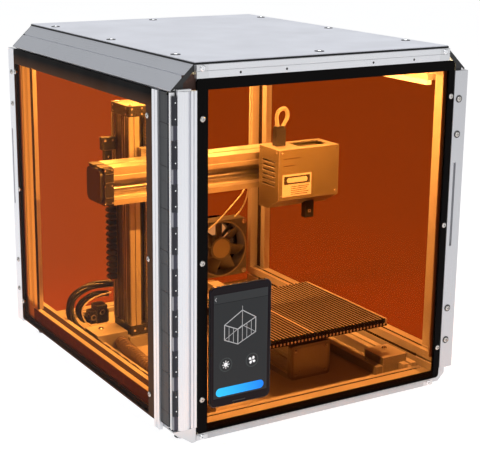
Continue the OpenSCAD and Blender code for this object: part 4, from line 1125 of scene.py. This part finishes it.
def make_arm_details():
    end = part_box("x_end_caps")[0].x + 0.005
    heads = [((end, y, z), LEFT, 0.0014, 0.0008) for y in (0.007, 0.041) for z in (0.244, 0.278)]
    heads += [((x, 0, z), FRONT, 0.0013, 0.0007) for x in (-0.1795, -0.1695) for z in (0.2395, 0.262, 0.283)]
    screw_piece("arm_cap_screws", "lift", heads)
    ribs = [((-0.179, -0.0012, z), (-0.1672, 0.0004, z + 0.0016)) for z in (0.2455, 0.2655, 0.277)]
    ribs += [((-0.1835, y0, 0.2856), (-0.1675, y1, 0.2868)) for y0, y1 in ((0.004, 0.02), (0.026, 0.044))]
    block_piece("arm_cap_ribs", "lift", "machine_caps", NODES["x_end_caps"].data.materials[0], *ribs,
                bevel=0.0003)
    heads = [((x, 0.048, 0.2905), FRONT, 0.002, 0.0012) for x in (-0.096, -0.068)]
    screw_piece("lift_plate_screws", "lift", heads)


def column_screws():
    """The screws of the column's end caps: on top, round the upper cap, and at the foot."""
    low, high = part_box("z_column")
    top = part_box("z_end_caps")[1].z
    heads = [((x, y, top), UP, 0.0028, 0.0018)
             for x in (low.x + 0.006, high.x - 0.006) for y in (low.y + 0.006, high.y - 0.008)]
    for z in (top - 0.0115, top - 0.004):
        heads += [((x, low.y, z), FRONT, 0.0014, 0.0008)
                  for x in (low.x + 0.005, low.x + 0.02, high.x - 0.02, high.x - 0.005)]
        heads += [((low.x, y, z), LEFT, 0.0014, 0.0008) for y in (low.y + 0.008, high.y - 0.008)]
    heads += [((x, low.y, 0.0355), FRONT, 0.0018, 0.001)
              for x in (low.x + 0.006, low.x + 0.022, high.x - 0.022, high.x - 0.006)]
    return heads


def chain_links():
    links = []
    for z in (0.102 + 0.0088 * i for i in range(15)):
        links.append(((-0.1275, 0.1, z), (-0.1165, 0.111, z + 0.0062)))
        links.append(((-0.1295, 0.1015, z + 0.0015), (-0.116, 0.1095, z + 0.0045)))
    return links


def build_fixture_screws(bm):
    for x in (-0.133, -0.121):
        add_button_head(bm, (x, 0.098, 0.3015), FRONT, 0.0018, 0.001)
    add_button_head(bm, (-0.128, 0.099, 0.279), FRONT, 0.0016, 0.001)
    add_ring(bm, (-0.1415, 0.13, 0.039), FRONT, 0.0026, 0.0048, 0.0014)
    add_ring(bm, (-0.1285, 0.128, 0.046), FRONT, 0.0026, 0.0044, 0.0014)


def make_column_details():
    """Cap screws, the cable chain, and the limit switch and sockets behind the column."""
    chain = painted("chain_plastic", (0.035, 0.032, 0.03), 0.3)
    screw_piece("column_cap_screws", "case", column_screws())
    block_piece("column_cable_chain", "case", "cable_black", chain, *chain_links(), bevel=0.0005)
    block_piece("column_fixtures", "case", "machine_caps", NODES["z_end_caps"].data.materials[0],
                ((-0.137, 0.098, 0.288), (-0.1161, 0.108, 0.306)),
                ((-0.134, 0.099, 0.27), (-0.122, 0.106, 0.2885)),
                ((-0.146, 0.13, 0.029), (-0.117, 0.146, 0.048)),
                ((-0.137, 0.128, 0.029), (-0.12, 0.148, 0.056)),
                ((-0.15, 0.133, 0.033), (-0.1455, 0.143, 0.044)), bevel=0.0008)
    piece_of("column_fixture_screws", "case", "bright_steel", screw_steel(), build_fixture_screws)


def make_base_details():
    heads = [((x, y, 0.036), UP, 0.0038, 0.0032) for x, y in ((0.15, -0.172), (0.15, 0.096), (-0.15, 0.086))]
    heads += [((x, y, 0.028), UP, 0.003, 0.002) for x, y in ((-0.115, 0.066), (-0.06, 0.1))]
    heads += [((0.122, y, 0.025), UP, 0.0026, 0.0016) for y in (-0.17, -0.06, 0.05)]
    screw_piece("base_screws", "case", heads)
    low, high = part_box("y_end_caps")
    front = low.y - 0.0006
    block_piece("bed_rail_cap_plate", "case", "machine_caps",
                painted("cap_plate_coat", (0.42, 0.37, 0.29), 0.35),
                ((low.x + 0.004, front, low.z + 0.004), (high.x - 0.004, low.y, high.z - 0.004)),
                bevel=0.0005)
    heads = [((x, front, z), FRONT, 0.0022, 0.0014)
             for x in (low.x + 0.0075, high.x - 0.0075) for z in (low.z + 0.0065, high.z - 0.0065)]
    heads.append(((low.x + 0.014, front, low.z + 0.011), FRONT, 0.0012, 0.0008))
    screw_piece("bed_rail_cap_screws", "case", heads)


def build_tie_rods(bm):
    low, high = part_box("slatted_bed")
    z = high.z - 0.004
    for y in (low.y + 0.012, high.y - 0.012):
        add_rod(bm, (low.x + 0.001, y, z), (high.x - 0.001, y, z), 0.0012, 10)


def bed_edges():
    """The bright ends of the slats, the right flank and the seam down the bed."""
    low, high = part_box("slatted_bed")
    pitch = 0.0054
    starts = [low.x + 0.0022 + pitch * i for i in range(int((high.x - low.x) / pitch))]
    edges = [((x, low.y - 0.0004, 0.0812), (x + 0.002, low.y, 0.0842)) for x in starts]
    edges.append(((high.x - 0.0016, low.y, 0.0825), (high.x, high.y, 0.0897)))
    edges.append(((low.x + 0.0668, low.y, 0.0903), (low.x + 0.0692, high.y, 0.0908)))
    return edges


def make_bed_details():
    piece_of("bed_tie_rods", "bed", "bed_metal", screw_steel(), build_tie_rods)
    block_piece("bed_bright_edges", "bed", "bed_metal",
                anodised("bed_edge_steel", (0.9, 0.88, 0.86), 0.35, 0.3), *bed_edges())


def make_fan_details():
    low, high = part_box("fan_frame")
    middle = (low + high) / 2
    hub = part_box("fan_rotor")[0].y
    piece_of("fan_hub_label", "exhaust_fan", "black_plastic",
             painted("fan_label", (0.55, 0.5, 0.3), 0.35, depth=0.000004),
             lambda bm: add_rod(bm, (middle.x, hub + 0.0001, middle.z), (middle.x, hub - 0.0003, middle.z),
                                0.0155, 40))
    # A pale ring at the fan's opening: a painted highlight on its rim.
    piece_of("fan_rim", "case", "black_plastic", painted("fan_rim_highlight", (0.36, 0.35, 0.3), 0.3),
             lambda bm: add_ring(bm, (middle.x, low.y, middle.z), FRONT, 0.0431, 0.0452, 0.0008, 64))

    def washers(bm):
        for i in (-1, 1):
            for j in (-1, 1):
                corner = (middle.x + i * 0.041, low.y, middle.z + j * 0.041)
                add_ring(bm, corner, FRONT, 0.0034, 0.0046, 0.0006, 24)

    piece_of("fan_screw_washers", "case", "bright_steel", screw_steel(), washers)


def make_led_details():
    low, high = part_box("led_strips")
    tape = painted("led_tape", (0.6, 0.58, 0.5), 0.4)
    chips, clips = [], []
    for y in (low.y + 0.004, high.y - 0.004):
        chips += [((x, y - 0.0025, low.z - 0.0006), (x + 0.005, y + 0.0025, low.z))
                  for x in (low.x + 0.006 + i * 0.0127 for i in range(22))]
        clips += [((x - 0.003, y - 0.0045, low.z - 0.0008), (x + 0.003, y + 0.0045, low.z + 0.0014))
                  for x in (low.x, high.x)]
    block_piece("led_chip_rows", "case", "led_white", glowing("led_chips", (1.0, 0.85, 0.5), 6.0), *chips)
    block_piece("led_end_clips", "case", "black_plastic", tape, *clips)


make_camera()
make_light()
make_inner_light()
make_floor()
paint_case()
paint_machine()
make_screen()
make_hose()
make_cables()
make_plug()
make_case_details()
make_head_details()
make_arm_details()
make_column_details()
make_base_details()
make_bed_details()
make_fan_details()
make_led_details()
